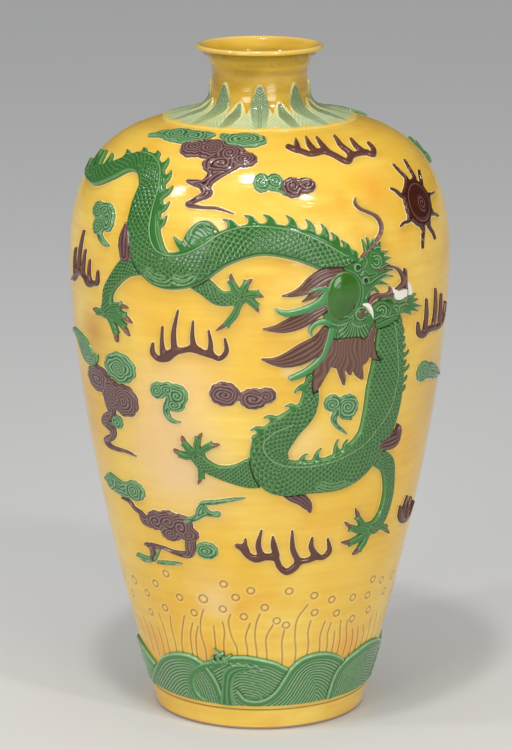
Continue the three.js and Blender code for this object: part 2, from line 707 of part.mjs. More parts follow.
function cloud(sheet, { lobes, trails }) {
  return joined([
    ...lobes.map((place) => lobe(sheet, ...place, CLOUD_RISE)),
    ...trails.map((stops) => band(sheet, stops, FLAT_TOP, CLOUD_RISE)),
  ]);
}

/**
 * A closed girdle right round the wall. Its upper edge is a height for each turn, and its section
 * follows the wall in a number of steps from there down to its lower edge.
 */
function girdle(edge, bottom, rise, columns, steps) {
  const sheet = new Sheet(bottom);
  const places = [];
  const corners = [];
  const ring = 2 * (steps + 1);
  for (let i = 0; i < columns; i += 1) {
    const turn = i * 360 / columns - 180;
    const top = edge(turn);
    for (let j = 0; j < ring; j += 1) {
      const outside = j <= steps;
      const share = outside ? j / steps : (ring - 1 - j) / steps;
      const edgeOfFace = outside ? top - rise / 2 : top;
      const place = sheet.flat(turn, bottom + (edgeOfFace - bottom) * share);
      place.z = outside ? rise : SEAT;
      places.push(...sheet.bend(place).toArray());
      const next = (i + 1) % columns;
      const above = (j + 1) % ring;
      const [a, b] = [i * ring + j, next * ring + j];
      const [c, d] = [i * ring + above, next * ring + above];
      corners.push(a, b, c, c, b, d);
    }
  }
  const geometry = new THREE.BufferGeometry();
  geometry.setAttribute('position', new THREE.Float32BufferAttribute(places, 3));
  geometry.setIndex(corners);
  return geometry;
}

const CRESTS = [[-70, 57], [-35, 60], [-2, 65], [30, 64.5], [60, 63], [86, 59]];

/** Overlapping wave humps, the same on both faces of the vase. */
function waveEdge(turn) {
  const heights = [-180, 0, 180].flatMap((side) => CRESTS.map(
    ([middle, crest]) => crest - WAVE_SLOPE * (turn - side - middle) ** 2));
  return Math.max(...heights);
}

/** Upright leaves, long and short by turns. */
function leafEdge(turn) {
  const pitch = 360 / LEAF_COUNT;
  const fromLong = THREE.MathUtils.euclideanModulo(turn + pitch / 2, pitch) - pitch / 2;
  const fromShort = pitch / 2 - Math.abs(fromLong);
  const long = LONG_LEAF_ROW - LONG_LEAF_SLOPE * fromLong ** 2;
  const short = SHORT_LEAF_ROW - SHORT_LEAF_SLOPE * fromShort ** 2;
  return Math.max(long, short);
}

function makeMesh(name, geometry, { color, roughness }) {
  const mesh = new THREE.Mesh(geometry, new THREE.MeshStandardMaterial({ color, roughness, metalness: 0 }));
  mesh.name = name;
  return mesh;
}

/** The dragon's pieces, each cut away where another lies over it. */
function makeDragon() {
  const sheet = new Sheet(DRAGON_ROW);
  const headCut = head(sheet, CUT);
  const hairCut = maneAndHorns(sheet, CUT);
  const frontCut = frontTrunk(sheet, CUT);
  const rearCut = rearTrunk(sheet, CUT);
  const front = frontTrunk(sheet).subtract(headCut).subtract(hairCut);
  const rear = rearTrunk(sheet).subtract(headCut).subtract(hairCut).subtract(frontCut);
  const whisker = band(sheet, WHISKER, RIDGE, HAIR_RISE).subtract(headCut);
  const tuft = band(sheet, BELLY_TUFT, RIDGE, HAIR_RISE).subtract(frontCut);
  const legs = Object.entries(LEGS).map(([name, shape]) => (
    [name, sheet.wrap(leg(sheet, shape).subtract(rearCut).subtract(frontCut)), GREEN]));
  return [
    ['dragon_head', sheet.wrap(head(sheet).subtract(hairCut)), GREEN],
    ['dragon_mane', sheet.wrap(maneAndHorns(sheet)), AUBERGINE],
    ['dragon_front_trunk', sheet.wrap(front), GREEN],
    ['dragon_rear_trunk', sheet.wrap(rear), GREEN],
    ...legs,
    ['dragon_whisker', sheet.wrap(whisker), AUBERGINE],
    ['belly_tuft', sheet.wrap(tuft), AUBERGINE],
  ];
}

/** Every raised motif of one face of the vase, as a list of name, geometry and glaze. */
function makeFace() {
  const sunSheet = new Sheet(SUN.up);
  const flames = Object.entries(FLAMES).map(([name, shape]) => {
    const sheet = new Sheet(shape.foot[0][1]);
    return [name, sheet.wrap(flame(sheet, shape)), AUBERGINE];
  });
  const clouds = Object.entries(CLOUDS).map(([name, shape]) => {
    const sheet = new Sheet(shape.lobes[0][1]);
    return [name, sheet.wrap(cloud(sheet, shape)), shape.glaze];
  });
  return [...makeDragon(), ['sun', sunSheet.wrap(sun(sunSheet)), AUBERGINE], ...flames, ...clouds];
}

const vase = new THREE.Group();
vase.add(makeMesh('base_section', makeBase(), YELLOW));
vase.add(makeMesh('belly_section', makeRing(BASE_SEAM, BELLY_SEAM, BELLY_SPACING), YELLOW));
vase.add(makeMesh('shoulder_section', makeRing(BELLY_SEAM, NECK_SEAM, SHOULDER_SPACING), YELLOW));
vase.add(makeMesh('neck_section', makeNeck(), YELLOW));
const waveBottom = tapeAtHeight(BAND_HEIGHT) / row + WAVE_LIFT;
const waves = girdle(waveEdge, waveBottom, WAVE_RISE, WAVE_COLUMNS, 1);
const leaves = girdle(leafEdge, COLLAR_ROW, LEAF_RISE, LEAF_COUNT * LEAF_COLUMNS, LEAF_STEPS);
vase.add(makeMesh('wave_band', waves, GREEN));
vase.add(makeMesh('leaf_collar', leaves, PALE_GREEN));

const face = makeFace();
for (const side of ['front', 'back']) {
  const turnedFace = new THREE.Group();
  turnedFace.rotation.z = side === 'back' ? Math.PI : 0;
  for (const [name, geometry, glaze] of face) turnedFace.add(makeMesh(`${side}_${name}`, geometry, glaze));
  vase.add(turnedFace);
}

export default vase;
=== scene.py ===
"""A tall shouldered vase in yellow, green and aubergine glazes, dressed round its fixed frame.

The wall is one line turned about Z. The ornament is drawn flat, in degrees round the wall and in
millimetres of tape up it. Each motif is a height field on that drawing, cut along its own outline
and wrapped onto the wall, once for the front and once, half a turn round, for the back.
"""

import logging
import math
from collections.abc import Callable, Iterable, Sequence
from dataclasses import dataclass, field
from enum import Enum
from functools import cached_property

import bpy
import numpy as np
from bpy.types import Material, Node, NodeSocket, Object
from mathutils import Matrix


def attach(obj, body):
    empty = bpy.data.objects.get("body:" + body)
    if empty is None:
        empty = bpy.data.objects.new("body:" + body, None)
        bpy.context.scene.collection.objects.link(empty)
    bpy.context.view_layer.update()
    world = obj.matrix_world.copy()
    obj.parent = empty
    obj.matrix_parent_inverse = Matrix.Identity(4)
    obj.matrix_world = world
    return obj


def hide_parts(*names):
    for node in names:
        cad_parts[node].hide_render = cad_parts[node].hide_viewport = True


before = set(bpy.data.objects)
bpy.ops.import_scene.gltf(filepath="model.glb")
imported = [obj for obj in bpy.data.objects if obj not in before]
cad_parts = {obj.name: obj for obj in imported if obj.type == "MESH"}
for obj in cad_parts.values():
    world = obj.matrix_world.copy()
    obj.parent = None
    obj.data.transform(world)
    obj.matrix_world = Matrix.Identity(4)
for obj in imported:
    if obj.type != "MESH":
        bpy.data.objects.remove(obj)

LOG = logging.getLogger("vase")
MM = 0.001
BODY = "root"

Array = np.ndarray
Colour = tuple[float, float, float]
Box = tuple[float, float, float, float]

# How far a motif's rim and its underside lie below the wall's skin, in millimetres
RIM = -0.12
UNDERSIDE = -0.6
# The width given to a line that only guides a tool, in millimetres
LINE = 0.1
# How far outside its box a shape is still asked about, and the depth taken where it isn't
MARGIN = 4.0
NOWHERE = -9.0


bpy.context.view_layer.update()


class Face(Enum):
    """The two faces of the vase and how far each is turned round, in degrees."""

    FRONT = 0.0
    BACK = 180.0


# The wall's line


def bezier(corners: Sequence[tuple[float, float]], count: int) -> Array:
    """Points of a cubic: each corner weighted by the terms of ((1 - t) + t) cubed.

    Args:
        corners: the four corners that pull the curve.
        count: how many points to return, the first corner left out.

    Returns:
        An array of points, one in each row.
    """
    t = np.linspace(0.0, 1.0, count + 1)[1:, None]
    a, b, c, d = (np.array(corner) for corner in corners)
    return (1 - t) ** 3 * a + 3 * (1 - t) ** 2 * t * b + 3 * (1 - t) * t**2 * c + t**3 * d


@dataclass(frozen=True)
class WallLine:
    """The outer line of the wall, from the foot's edge to the underside of the lip, in millimetres."""

    height: float = 500.0
    foot_radius: float = 78.7
    band_height: float = 19.2
    band_top_radius: float = 82.5
    belly_radius: float = 140.6
    belly_height: float = 345.6
    root_radius: float = 58.6
    root_height: float = 448.4
    waist_radius: float = 35.3
    waist_height: float = 467.9
    mouth_radius: float = 40.5
    lip_radius: float = 46.7
    lip_bead: float = 3.8
    undercut: float = 0.7
    # How far the curve is pulled before and after the neck's root, and how steeply it passes the root
    root_before: float = 14.4
    root_after: float = 8.9
    root_slope: float = 0.35
    # Rows of the drawing up the whole line, and points in each of its four cubics
    rows: float = 557.9
    count: int = 240

    @property
    def under_lip(self) -> float:
        """Height of the undercut below the rolled lip."""
        return self.height - self.lip_bead - (self.lip_radius - self.mouth_radius) * self.undercut

    @cached_property
    def trace(self) -> Array:
        """The line as rows of tape, radius, height and the outward normal's radius and height."""
        rise = self.belly_height - self.band_height
        spread = self.belly_radius - self.band_top_radius
        brow = self.root_height - self.belly_height
        throat = self.waist_height - self.root_height
        flare = self.under_lip - self.waist_height
        band = (self.band_top_radius, self.band_height)
        belly = (self.belly_radius, self.belly_height)
        root = (self.root_radius, self.root_height)
        waist = (self.waist_radius, self.waist_height)
        mouth = (self.mouth_radius, self.under_lip)
        share = np.linspace(0.0, 1.0, 9)[:, None]
        # The inner corners of each cubic stand off its ends by shares of the rise and spread it bridges
        points = np.vstack([
            np.array([self.foot_radius, 0.0]) * (1 - share) + np.array(band) * share,
            bezier([band, (band[0] + 0.345 * spread, band[1] + 0.206 * rise),
                    (belly[0], belly[1] - 0.32 * rise), belly], self.count),
            bezier([belly, (belly[0], belly[1] + 0.965 * brow),
                    (root[0] + self.root_before, root[1] - self.root_before * self.root_slope), root],
                   self.count),
            bezier([root, (root[0] - self.root_after, root[1] + self.root_after * self.root_slope),
                    (waist[0], waist[1] - 0.855 * throat), waist], self.count),
            bezier([waist, (waist[0], waist[1] + 0.08 * flare),
                    (mouth[0] - 0.352 * flare, mouth[1] - 0.32 * flare), mouth], self.count),
        ])
        steps = np.diff(points, axis=0)
        tape = np.concatenate([[0.0], np.cumsum(np.hypot(*steps.T))])
        along = np.gradient(points, tape, axis=0)
        along /= np.linalg.norm(along, axis=1)[:, None]
        return np.column_stack([tape, points, along[:, 1], -along[:, 0]])

    @property
    def length(self) -> float:
        """Tape length of the whole line."""
        return float(self.trace[-1, 0])

    def at(self, tape: Array, off: Array | float = 0.0) -> tuple[Array, Array]:
        """Radius and height of places on the wall.

        Args:
            tape: tape distances up from the foot.
            off: heights off the wall's skin, along its normal.

        Returns:
            The radii and the heights, in millimetres.
        """
        tapes, radius, height, out, up = self.trace.T
        return (np.interp(tape, tapes, radius) + off * np.interp(tape, tapes, out),
                np.interp(tape, tapes, height) + off * np.interp(tape, tapes, up))

    def tape_at(self, height: float) -> float:
        """Tape distance at which the line reaches a height."""
        return float(np.interp(height, self.trace[:, 2], self.trace[:, 0]))

    def place(self, turn: Array, tape: Array, off: Array | float) -> Array:
        """Points in metres for turns in degrees, tape distances and heights off the skin.

        Args:
            turn: turns round the axis, in degrees.
            tape: distances of tape up the wall, in millimetres.
            off: heights off the wall's skin, in millimetres.

        Returns:
            One point in each row.
        """
        radius, height = self.at(tape, off)
        angle = np.radians(turn)
        return np.column_stack([radius * np.sin(angle), -radius * np.cos(angle), height]) * MM


@dataclass(frozen=True)
class Sheet:
    """A flat sheet at one level of the wall, where a millimetre across is a millimetre round."""

    wall: WallLine
    level: float

    @property
    def row(self) -> float:
        """Millimetres of tape for one row of the drawing."""
        return self.wall.length / self.wall.rows

    @cached_property
    def degree(self) -> float:
        """Millimetres round the wall for one degree at this level."""
        return math.radians(1.0) * float(self.wall.at(self.level * self.row)[0])

    def stops(self, drawn: Iterable[Sequence[float]]) -> Array:
        """Places drawn as a turn, a height and a width, in flat millimetres."""
        return np.array([(stop[0] * self.degree, stop[1], stop[2] if len(stop) > 2 else 1.0)
                         for stop in drawn], dtype=float)

    def line(self, drawn: Iterable[Sequence[float]], width: float = LINE, **more: float) -> "Stroke":
        """A strip of one width through drawn places."""
        return Stroke(self.stops([(turn, up, width) for turn, up in drawn]), **more)

    def bend(self, x: Array, y: Array, off: Array, face: Face) -> Array:
        """Where flat places come to lie on one face of the vase, in metres."""
        return self.wall.place(x / self.degree + face.value, y * self.row, off)


def smooth_line(stops: Array, per_span: int = 10) -> Array:
    """A centripetal curve through stops: each span is a cubic whose end slopes lean on its neighbours.

    Args:
        stops: places and widths, one in each row.
        per_span: how many pieces each span is cut into.

    Returns:
        Points along the curve, the widths blended with them.
    """
    padded = np.vstack([2 * stops[0] - stops[1], stops, 2 * stops[-1] - stops[-2]])
    gaps = np.maximum(np.linalg.norm(np.diff(padded, axis=0), axis=1) ** 0.5, 1e-3)
    t = np.linspace(0.0, 1.0, per_span, endpoint=False)[:, None]
    spans = []
    for i in range(len(stops) - 1):
        a, b, c, d = padded[i:i + 4]
        before, here, after = gaps[i:i + 3]
        leave = ((b - a) / before - (c - a) / (before + here) + (c - b) / here) * here
        arrive = ((c - b) / here - (d - b) / (here + after) + (d - c) / after) * here
        spans.append((2 * t**3 - 3 * t**2 + 1) * b + (t**3 - 2 * t**2 + t) * leave
                     + (3 * t**2 - 2 * t**3) * c + (t**3 - t**2) * arrive)
    return np.vstack([*spans, stops[-1:]])


def bell(distance: Array, width: float) -> Array:
    """1 at no distance, falling as a bell curve of the given width."""
    return np.exp(-(distance / width) ** 2)


def way(value: Array, start: float, span: Array | float) -> Array:
    """How far a value has come along a span from its start, kept between 0 and 1."""
    return np.clip((value - start) / span, 0.0, 1.0)


def rounded(depth: Array, edge: Array | float) -> Array:
    """A quarter-round edge: the root of 1 less the square of what is left of the way in."""
    return np.sqrt(1 - (1 - way(depth, 0.0, edge)) ** 2)


def trough(turns: Array) -> Array:
    """A cosine wave from 0 to 1 that is lowest at whole turns."""
    return 0.5 - 0.5 * np.cos(2 * np.pi * turns)


def smooth_max(a: Array, b: Array, blend: float) -> Array:
    """The larger of two fields, with a fillet where they cross."""
    share = np.clip(0.5 + 0.5 * (a - b) / blend, 0.0, 1.0)
    return b * (1 - share) + a * share + blend * share * (1 - share)


# Shapes on the flat sheet


@dataclass
class Stroke:
    """A strip of clay along a smooth line, round at its ends, whose width changes on the way.

    Its depth inside the edge is half the width at the nearest place on the line, less the distance.
    """

    stops: Array
    rise: float = 2.2
    edge: float = 1.0
    crown: float = 0.0
    per_span: int = 8

    @cached_property
    def line(self) -> Array:
        """Points along the line with the width at each."""
        return smooth_line(self.stops, self.per_span)

    @cached_property
    def tape(self) -> Array:
        """Distance along the line at each of its points."""
        steps = np.diff(self.line[:, :2], axis=0)
        return np.concatenate([[0.0], np.cumsum(np.hypot(*steps.T))])

    @cached_property
    def box(self) -> Box:
        """Lowest and highest x and y that the strip reaches."""
        half = self.line[:, 2] / 2
        x, y = self.line[:, 0], self.line[:, 1]
        return (float((x - half).min()), float((x + half).max()),
                float((y - half).min()), float((y + half).max()))

    def locate(self, x: Array, y: Array) -> tuple[Array, Array, Array]:
        """The nearest place on the line for each point, by projecting it on every short piece.

        Args:
            x: millimetres across the sheet.
            y: millimetres up it.

        Returns:
            Tape along the line, distance to its left, and half the width there.
        """
        starts = self.line[:-1]
        steps = np.diff(self.line, axis=0)
        squares = np.maximum((steps[:, :2] ** 2).sum(1), 1e-9)
        lengths = np.sqrt(squares)
        along = np.empty(x.size)
        across = np.empty(x.size)
        half = np.empty(x.size)
        for part in np.array_split(np.arange(x.size), x.size // 6000 + 1):
            dx = x[part, None] - starts[:, 0]
            dy = y[part, None] - starts[:, 1]
            t = np.clip((dx * steps[:, 0] + dy * steps[:, 1]) / squares, 0.0, 1.0)
            apart = (dx - t * steps[:, 0]) ** 2 + (dy - t * steps[:, 1]) ** 2
            best = apart.argmin(1)
            row = np.arange(part.size)
            share = t[row, best]
            side = steps[best, 0] * dy[row, best] - steps[best, 1] * dx[row, best]
            along[part] = self.tape[best] + share * lengths[best]
            across[part] = np.where(side < 0, -1.0, 1.0) * np.sqrt(apart[row, best])
            half[part] = (starts[best, 2] + share * steps[best, 2]) / 2
        return along, across, half

    def depth(self, x: Array, y: Array) -> Array:
        """How far each point lies inside the strip's edge."""
        _, across, half = self.locate(x, y)
        return half - np.abs(across)

    def height(self, x: Array, y: Array) -> Array:
        """Height off the wall: a quarter-round edge, with a low crown over the middle.

        Args:
            x: millimetres across the sheet.
            y: millimetres up it.

        Returns:
            The heights, or the rim's level outside.
        """
        _, across, half = self.locate(x, y)
        depth = half - np.abs(across)
        flat = (self.rise - self.crown) * rounded(depth, self.edge)
        return np.where(depth > 0, flat + self.crown * rounded(depth, np.maximum(half, 0.1)), RIM)


@dataclass
class Lobe:
    """An ellipse of clay whose edge may be scalloped.

    Its depth is one less the point's share of the way to the edge, over that share's slope.
    """

    centre: tuple[float, float]
    wide: float
    tall: float
    rise: float = 2.3
    edge: float = 1.2
    dome: float = 0.0
    lean: float = 0.0
    egg: float = 0.0
    scallops: int = 0
    scallop: float = 0.05

    @property
    def box(self) -> Box:
        """Lowest and highest x and y that the ellipse reaches."""
        reach = max(self.wide, self.tall) * (1 + self.scallop)
        return (self.centre[0] - reach, self.centre[0] + reach,
                self.centre[1] - reach, self.centre[1] + reach)

    def polar(self, x: Array, y: Array) -> tuple[Array, Array]:
        """Share of the way from the centre to the edge, and the angle there.

        Args:
            x: millimetres across the sheet.
            y: millimetres up it.

        Returns:
            The shares, 1 at the edge, and the angles in radians.
        """
        lean = math.radians(self.lean)
        dx, dy = x - self.centre[0], y - self.centre[1]
        across = (dx * math.cos(lean) + dy * math.sin(lean)) / self.wide
        up = (-dx * math.sin(lean) + dy * math.cos(lean)) / self.tall
        across = across / (1 + self.egg * np.clip(up, -1.2, 1.2))
        angle = np.arctan2(up, across)
        bulge = 1.0
        if self.scallops:
            bulge = 1 + self.scallop * (np.abs(np.sin(angle * self.scallops / 2)) - 0.6)
        return np.hypot(across, up) / bulge, angle

    def depth(self, x: Array, y: Array) -> Array:
        """How far each point lies inside the edge.

        Args:
            x: millimetres across the sheet.
            y: millimetres up it.

        Returns:
            The depths in millimetres.
        """
        share, angle = self.polar(x, y)
        radius = 1 / np.hypot(np.cos(angle) / self.wide, np.sin(angle) / self.tall)
        slant = min(self.wide, self.tall) / np.maximum(self.wide, self.tall)
        return (1 - share) * (radius * slant + min(self.wide, self.tall) * (1 - slant))

    def height(self, x: Array, y: Array) -> Array:
        """Height off the wall: a quarter-round edge under an ellipsoid dome.

        Args:
            x: millimetres across the sheet.
            y: millimetres up it.

        Returns:
            The heights, or the rim's level outside.
        """
        share, _ = self.polar(x, y)
        depth = self.depth(x, y)
        flat = (self.rise - self.dome) * rounded(depth, self.edge)
        return np.where(depth > 0, flat + self.dome * np.sqrt(np.clip(1 - share**2, 0.0, 1.0)), RIM)


Shape = Stroke | Lobe


def culled(shape: Shape, ask: Callable, x: Array, y: Array, outside: float) -> Array:
    """Asks a shape only about the points near its box, and takes one value for the rest.

    Args:
        shape: the shape.
        ask: its method for depth or height.
        x: millimetres across the sheet.
        y: millimetres up it.
        outside: the value away from the box.

    Returns:
        A value for each point.
    """
    low_x, high_x, low_y, high_y = shape.box
    near = (x > low_x - MARGIN) & (x < high_x + MARGIN) & (y > low_y - MARGIN) & (y < high_y + MARGIN)
    found = np.full(x.size, outside)
    if near.any():
        found[near] = ask(x[near], y[near])
    return found


def deepest(shapes: Iterable[Shape], x: Array, y: Array) -> Array:
    """How far each point lies inside the shape that holds it deepest.

    Args:
        shapes: the shapes.
        x: millimetres across the sheet.
        y: millimetres up it.

    Returns:
        The depths, NOWHERE for points that lie near none.
    """
    inside = np.full(x.size, NOWHERE)
    for shape in shapes:
        inside = np.maximum(inside, culled(shape, shape.depth, x, y, NOWHERE))
    return inside


def arc(centre: Sequence[float], reach: Array | float, angles: Array, per_span: int) -> Stroke:
    """A guide line about a centre, at a reach for each angle."""
    return Stroke(np.column_stack([centre[0] + reach * np.cos(angles), centre[1] + reach * np.sin(angles),
                                   np.full(angles.size, LINE)]), per_span=per_span)


# What is cut into the clay


@dataclass
class Cut:
    """What a tool leaves at each point: clay taken away, and where glaze pools or thins, which on the relief
    and the lip also carries painted shade and painted highlights.
    """

    drop: Array
    pool: Array
    thin: Array

    @staticmethod
    def none(count: int) -> "Cut":
        """No cut at all."""
        return Cut(np.zeros(count), np.zeros(count), np.zeros(count))

    @staticmethod
    def combed(wave: Array, deep: float, pale: Array | float) -> "Cut":
        """Grooves where a wave is high: glaze pools in them and is pale by the given share beside."""
        return Cut(deep * wave**2, 1.6 * deep * wave**2, pale)

    def over(self, other: "Cut") -> "Cut":
        """The deeper of two cuts at each point."""
        return Cut(np.maximum(self.drop, other.drop), np.maximum(self.pool, other.pool),
                   np.maximum(self.thin, other.thin))

    def within(self, zone: Array) -> "Cut":
        """The same cut, by the share of it that a zone lets through."""
        return Cut(self.drop * zone, self.pool * zone, self.thin * zone)


class Tool:
    """A tool that cuts into a motif's face."""

    def carve(self, x: Array, y: Array, depth: Array) -> Cut:
        """The cut at each point.

        Args:
            x: millimetres across the sheet.
            y: millimetres up it.
            depth: depth inside the motif at each place.

        Returns:
            What is cut at each place.
        """
        raise NotImplementedError


@dataclass
class Scales(Tool):
    """Overlapping pointed scales along a strip.

    Each scale is a rounded diamond on a staggered grid of the strip's own tape and offset. At a point
    the scale furthest towards the head that covers it shows, tilted so that its free edge stands up.
    """

    strip: Stroke
    pitch: float = 3.9
    headward: float = 1.0
    plain_left: float = 1.0
    plain_right: float = 1.0
    limit: Stroke | None = None
    deep: float = 0.6
    point: float = 1.6
    fade: float = 0.6
    # One scale's step, half-width and length as shares of the pitch
    shape: tuple[float, float, float] = (0.68, 0.62, 0.90)

    def zone(self, x: Array, y: Array, depth: Array) -> Array:
        """1 where scales are cut: away from the strip's edges and on one side of its limit.

        Args:
            x: millimetres across the sheet.
            y: millimetres up it.
            depth: depth inside the motif at each place.

        Returns:
            The share of the cut that shows at each place.
        """
        _, across, half = self.strip.locate(x, y)
        shown = way(depth, 0.7, 0.7) * way(half - across, self.plain_left, self.fade)
        shown *= way(half + across, self.plain_right, self.fade)
        if self.limit is not None:
            shown *= way(-self.limit.locate(x, y)[1], 0.5, self.fade)
        return shown

    def carve(self, x: Array, y: Array, depth: Array) -> Cut:
        """The cut at each point: a gully beside each free edge, darkened as painted shade, and a pale rim
        along it as a painted highlight.

        Args:
            x: millimetres across the sheet.
            y: millimetres up it.
            depth: depth inside the motif at each place.

        Returns:
            What is cut at each place.
        """
        along, across, _ = self.strip.locate(x, y)
        sway = 0.12 * self.pitch * np.sin(0.21 * x + 0.9 * np.sin(0.17 * y))
        along = along * self.headward + sway
        step, wide, long = (share * self.pitch for share in self.shape)
        first = np.floor((along + long) / step) + 1
        reach, gully = np.full(x.size, 2.0), np.full(x.size, -NOWHERE)
        lift = np.zeros(x.size)
        bare = np.ones(x.size, dtype=bool)
        for back in range(4):
            rank = first - back
            shift = 0.5 * np.mod(rank, 2)
            column = np.round(across / self.pitch - shift) + shift
            ahead = (rank * step - along) / long
            beside = np.abs(across - column * self.pitch) / wide
            share = (np.abs(ahead) ** self.point + beside ** self.point) ** (1 / self.point)
            here = bare & (share < 1.0)
            reach[here], lift[here] = share[here], ahead[here]
            bare &= ~here
            gully = np.where(bare, np.minimum(gully, (share - 1.0) * wide), gully)
        # Painted shade in each gully and where each scale dips, and a painted highlight along each rim
        shadow = bell(gully, 0.5)
        rim = bell((1.0 - reach) * wide - 0.25, 0.36)
        drop = self.deep * (0.5 * (1 - lift) + 0.5 * shadow)
        return Cut(drop, 0.9 * shadow + 0.2 * (1 - lift), 0.5 * rim).within(self.zone(x, y, depth))


@dataclass
class Incised(Tool):
    """Lines cut with a point: a bell-shaped groove whose depth and width are given."""

    lines: list[Stroke]
    width: float = 0.6
    deep: float = 0.5
    bank: float = 0.0

    def carve(self, x: Array, y: Array, depth: Array) -> Cut:
        """The cut at each point: a groove on the line and a pale bank beside it.

        Args:
            x: millimetres across the sheet.
            y: millimetres up it.
            depth: depth inside the motif at each place, not used.

        Returns:
            What is cut at each place.
        """
        nearest = -deepest(self.lines, x, y)
        groove = bell(np.maximum(nearest, 0.0), self.width)
        bank = bell(nearest - 2 * self.width, self.width) * self.bank
        return Cut(self.deep * groove, groove, bank)


@dataclass
class Raised(Tool):
    """Thin ridges laid along lines, where the glaze thins and runs pale."""

    lines: list[Stroke]
    width: float = 0.6

    def carve(self, x: Array, y: Array, depth: Array) -> Cut:
        """The cut at each point: the clay beside a ridge is cut back and holds more glaze.

        Args:
            x: millimetres across the sheet.
            y: millimetres up it.
            depth: depth inside the motif at each place, not used.

        Returns:
            What is cut at each place.
        """
        nearest = -deepest(self.lines, x, y)
        ridge = bell(np.maximum(nearest, 0.0), self.width)
        beside = bell(np.abs(nearest) - 2.2 * self.width, self.width)
        return Cut(0.4 * beside, 0.7 * beside, ridge)


@dataclass
class Striae(Tool):
    """Fine lines combed along strips: a cosine of the offset as a share of the width."""

    strips: list[Stroke]
    count: float = 5.0
    deep: float = 0.4

    def carve(self, x: Array, y: Array, depth: Array) -> Cut:
        """The cut at each point, by the strip that it lies deepest in.

        Args:
            x: millimetres across the sheet.
            y: millimetres up it.
            depth: depth inside the motif at each place.

        Returns:
            What is cut at each place.
        """
        best = np.full(x.size, NOWHERE)
        wave = np.zeros(x.size)
        for strip in self.strips:
            inside = culled(strip, strip.depth, x, y, NOWHERE)
            here = inside > best
            best[here] = inside[here]
            _, across, half = strip.locate(x[here], y[here])
            wave[here] = trough(self.count * across / (2 * np.maximum(half, 1.2)))
        zone = way(depth, 0.5, 0.6) * way(best, 0.0, 0.5)
        return Cut.combed(wave, self.deep, 0.3 * (1 - wave) ** 4).within(zone)


@dataclass
class Fan(Tool):
    """Lines that spread from one place: a cosine of the angle about it, kept inside given shapes."""

    focus: tuple[float, float]
    spread: float
    shapes: list[Shape]
    deep: float = 0.45
    pale: float = 0.4

    def carve(self, x: Array, y: Array, depth: Array) -> Cut:
        """The cut at each point, its lines swayed a little so that they look drawn by hand.

        Args:
            x: millimetres across the sheet.
            y: millimetres up it.
            depth: depth inside the motif at each place.

        Returns:
            What is cut at each place.
        """
        angle = np.degrees(np.arctan2(x - self.focus[0], self.focus[1] - y))
        sway = 0.3 * np.sin(0.31 * y + 0.2 * x) + 0.35 * np.sin(0.11 * y - 0.3 * x)
        wave = trough(angle / self.spread + sway)
        zone = way(deepest(self.shapes, x, y), 0.0, 0.6) * way(depth, 0.5, 0.5)
        return Cut.combed(wave, self.deep, self.pale * (1 - wave) ** 3).within(zone)


@dataclass
class Rings(Tool):
    """Lines that keep their distance from the edge, drawn out into spirals inside round lobes."""

    lobes: list[Lobe]
    pitch: float = 2.6
    deep: float = 0.5
    first: float = 1.5

    def carve(self, x: Array, y: Array, depth: Array) -> Cut:
        """The cut at each point: a cosine of the depth, turned by the angle within a lobe.

        Args:
            x: millimetres across the sheet.
            y: millimetres up it.
            depth: depth inside the motif at each place.

        Returns:
            What is cut at each place.
        """
        phase = (depth - self.first) / self.pitch
        best = np.full(x.size, 0.9)
        for lobe in self.lobes:
            share, angle = lobe.polar(x, y)
            here = share < best
            best[here] = share[here]
            size = min(lobe.wide, lobe.tall)
            phase[here] = ((1 - share[here]) * size - self.first) / self.pitch + angle[here] / (2 * np.pi)
        phase = phase + 0.22 * np.sin(0.55 * x + 0.7 * np.sin(0.4 * y)) + 0.16 * np.sin(0.62 * y + 1.0)
        wave = (1 - trough(phase)) ** 2
        return Cut(self.deep * wave, wave, 0.6 * (1 - wave) ** 4).within(way(depth, 0.8, 0.6))


@dataclass
class Welts(Tool):
    """Grooves that follow one edge of a strip for part of its way, with a pale welt beside each."""

    strip: Stroke
    side: float
    at: tuple[float, ...] = (2.3,)
    start: float = 0.0
    end: float = 1.0
    width: float = 0.55
    fade: float = 0.02

    def carve(self, x: Array, y: Array, depth: Array) -> Cut:
        """The cut at each point, by its distance in from that edge.

        Args:
            x: millimetres across the sheet.
            y: millimetres up it.
            depth: depth inside the motif at each place.

        Returns:
            What is cut at each place.
        """
        along, across, half = self.strip.locate(x, y)
        share = along / self.strip.tape[-1]
        inset = half - self.side * across
        zone = way(share, self.start, self.fade) * way(self.end - share, 0.0, self.fade)
        zone *= way(depth, 0.4, 0.5) * (self.side * across > 0)
        groove, pale = np.zeros(x.size), np.zeros(x.size)
        for place in self.at:
            groove = np.maximum(groove, bell(inset - place, self.width))
            pale = np.maximum(pale, bell(inset - place + 0.9, 0.4))
        return Cut(0.7 * groove, groove, 0.5 * pale).within(zone)


# Glazes


@dataclass(frozen=True)
class Glaze:
    """A lead glaze over fired clay: its colours where it lies even, where it pools, which also stands for
    painted shade, where it thins, which also stands for painted highlights, and its gloss.
    """

    slot: str
    body: Colour
    pooled_and_shaded: Colour
    thinned_and_highlit: Colour
    cloudy: Colour
    roughness: float = 0.08
    cloud_scale: float = 26.0
    cloud_share: float = 0.45
    pooled_and_shaded_share: float = 0.88
    thinned_and_highlit_share: float = 0.75
    fine_scale: float = 420.0
    ripple_scale: float = 260.0
    ripple: float = 0.32


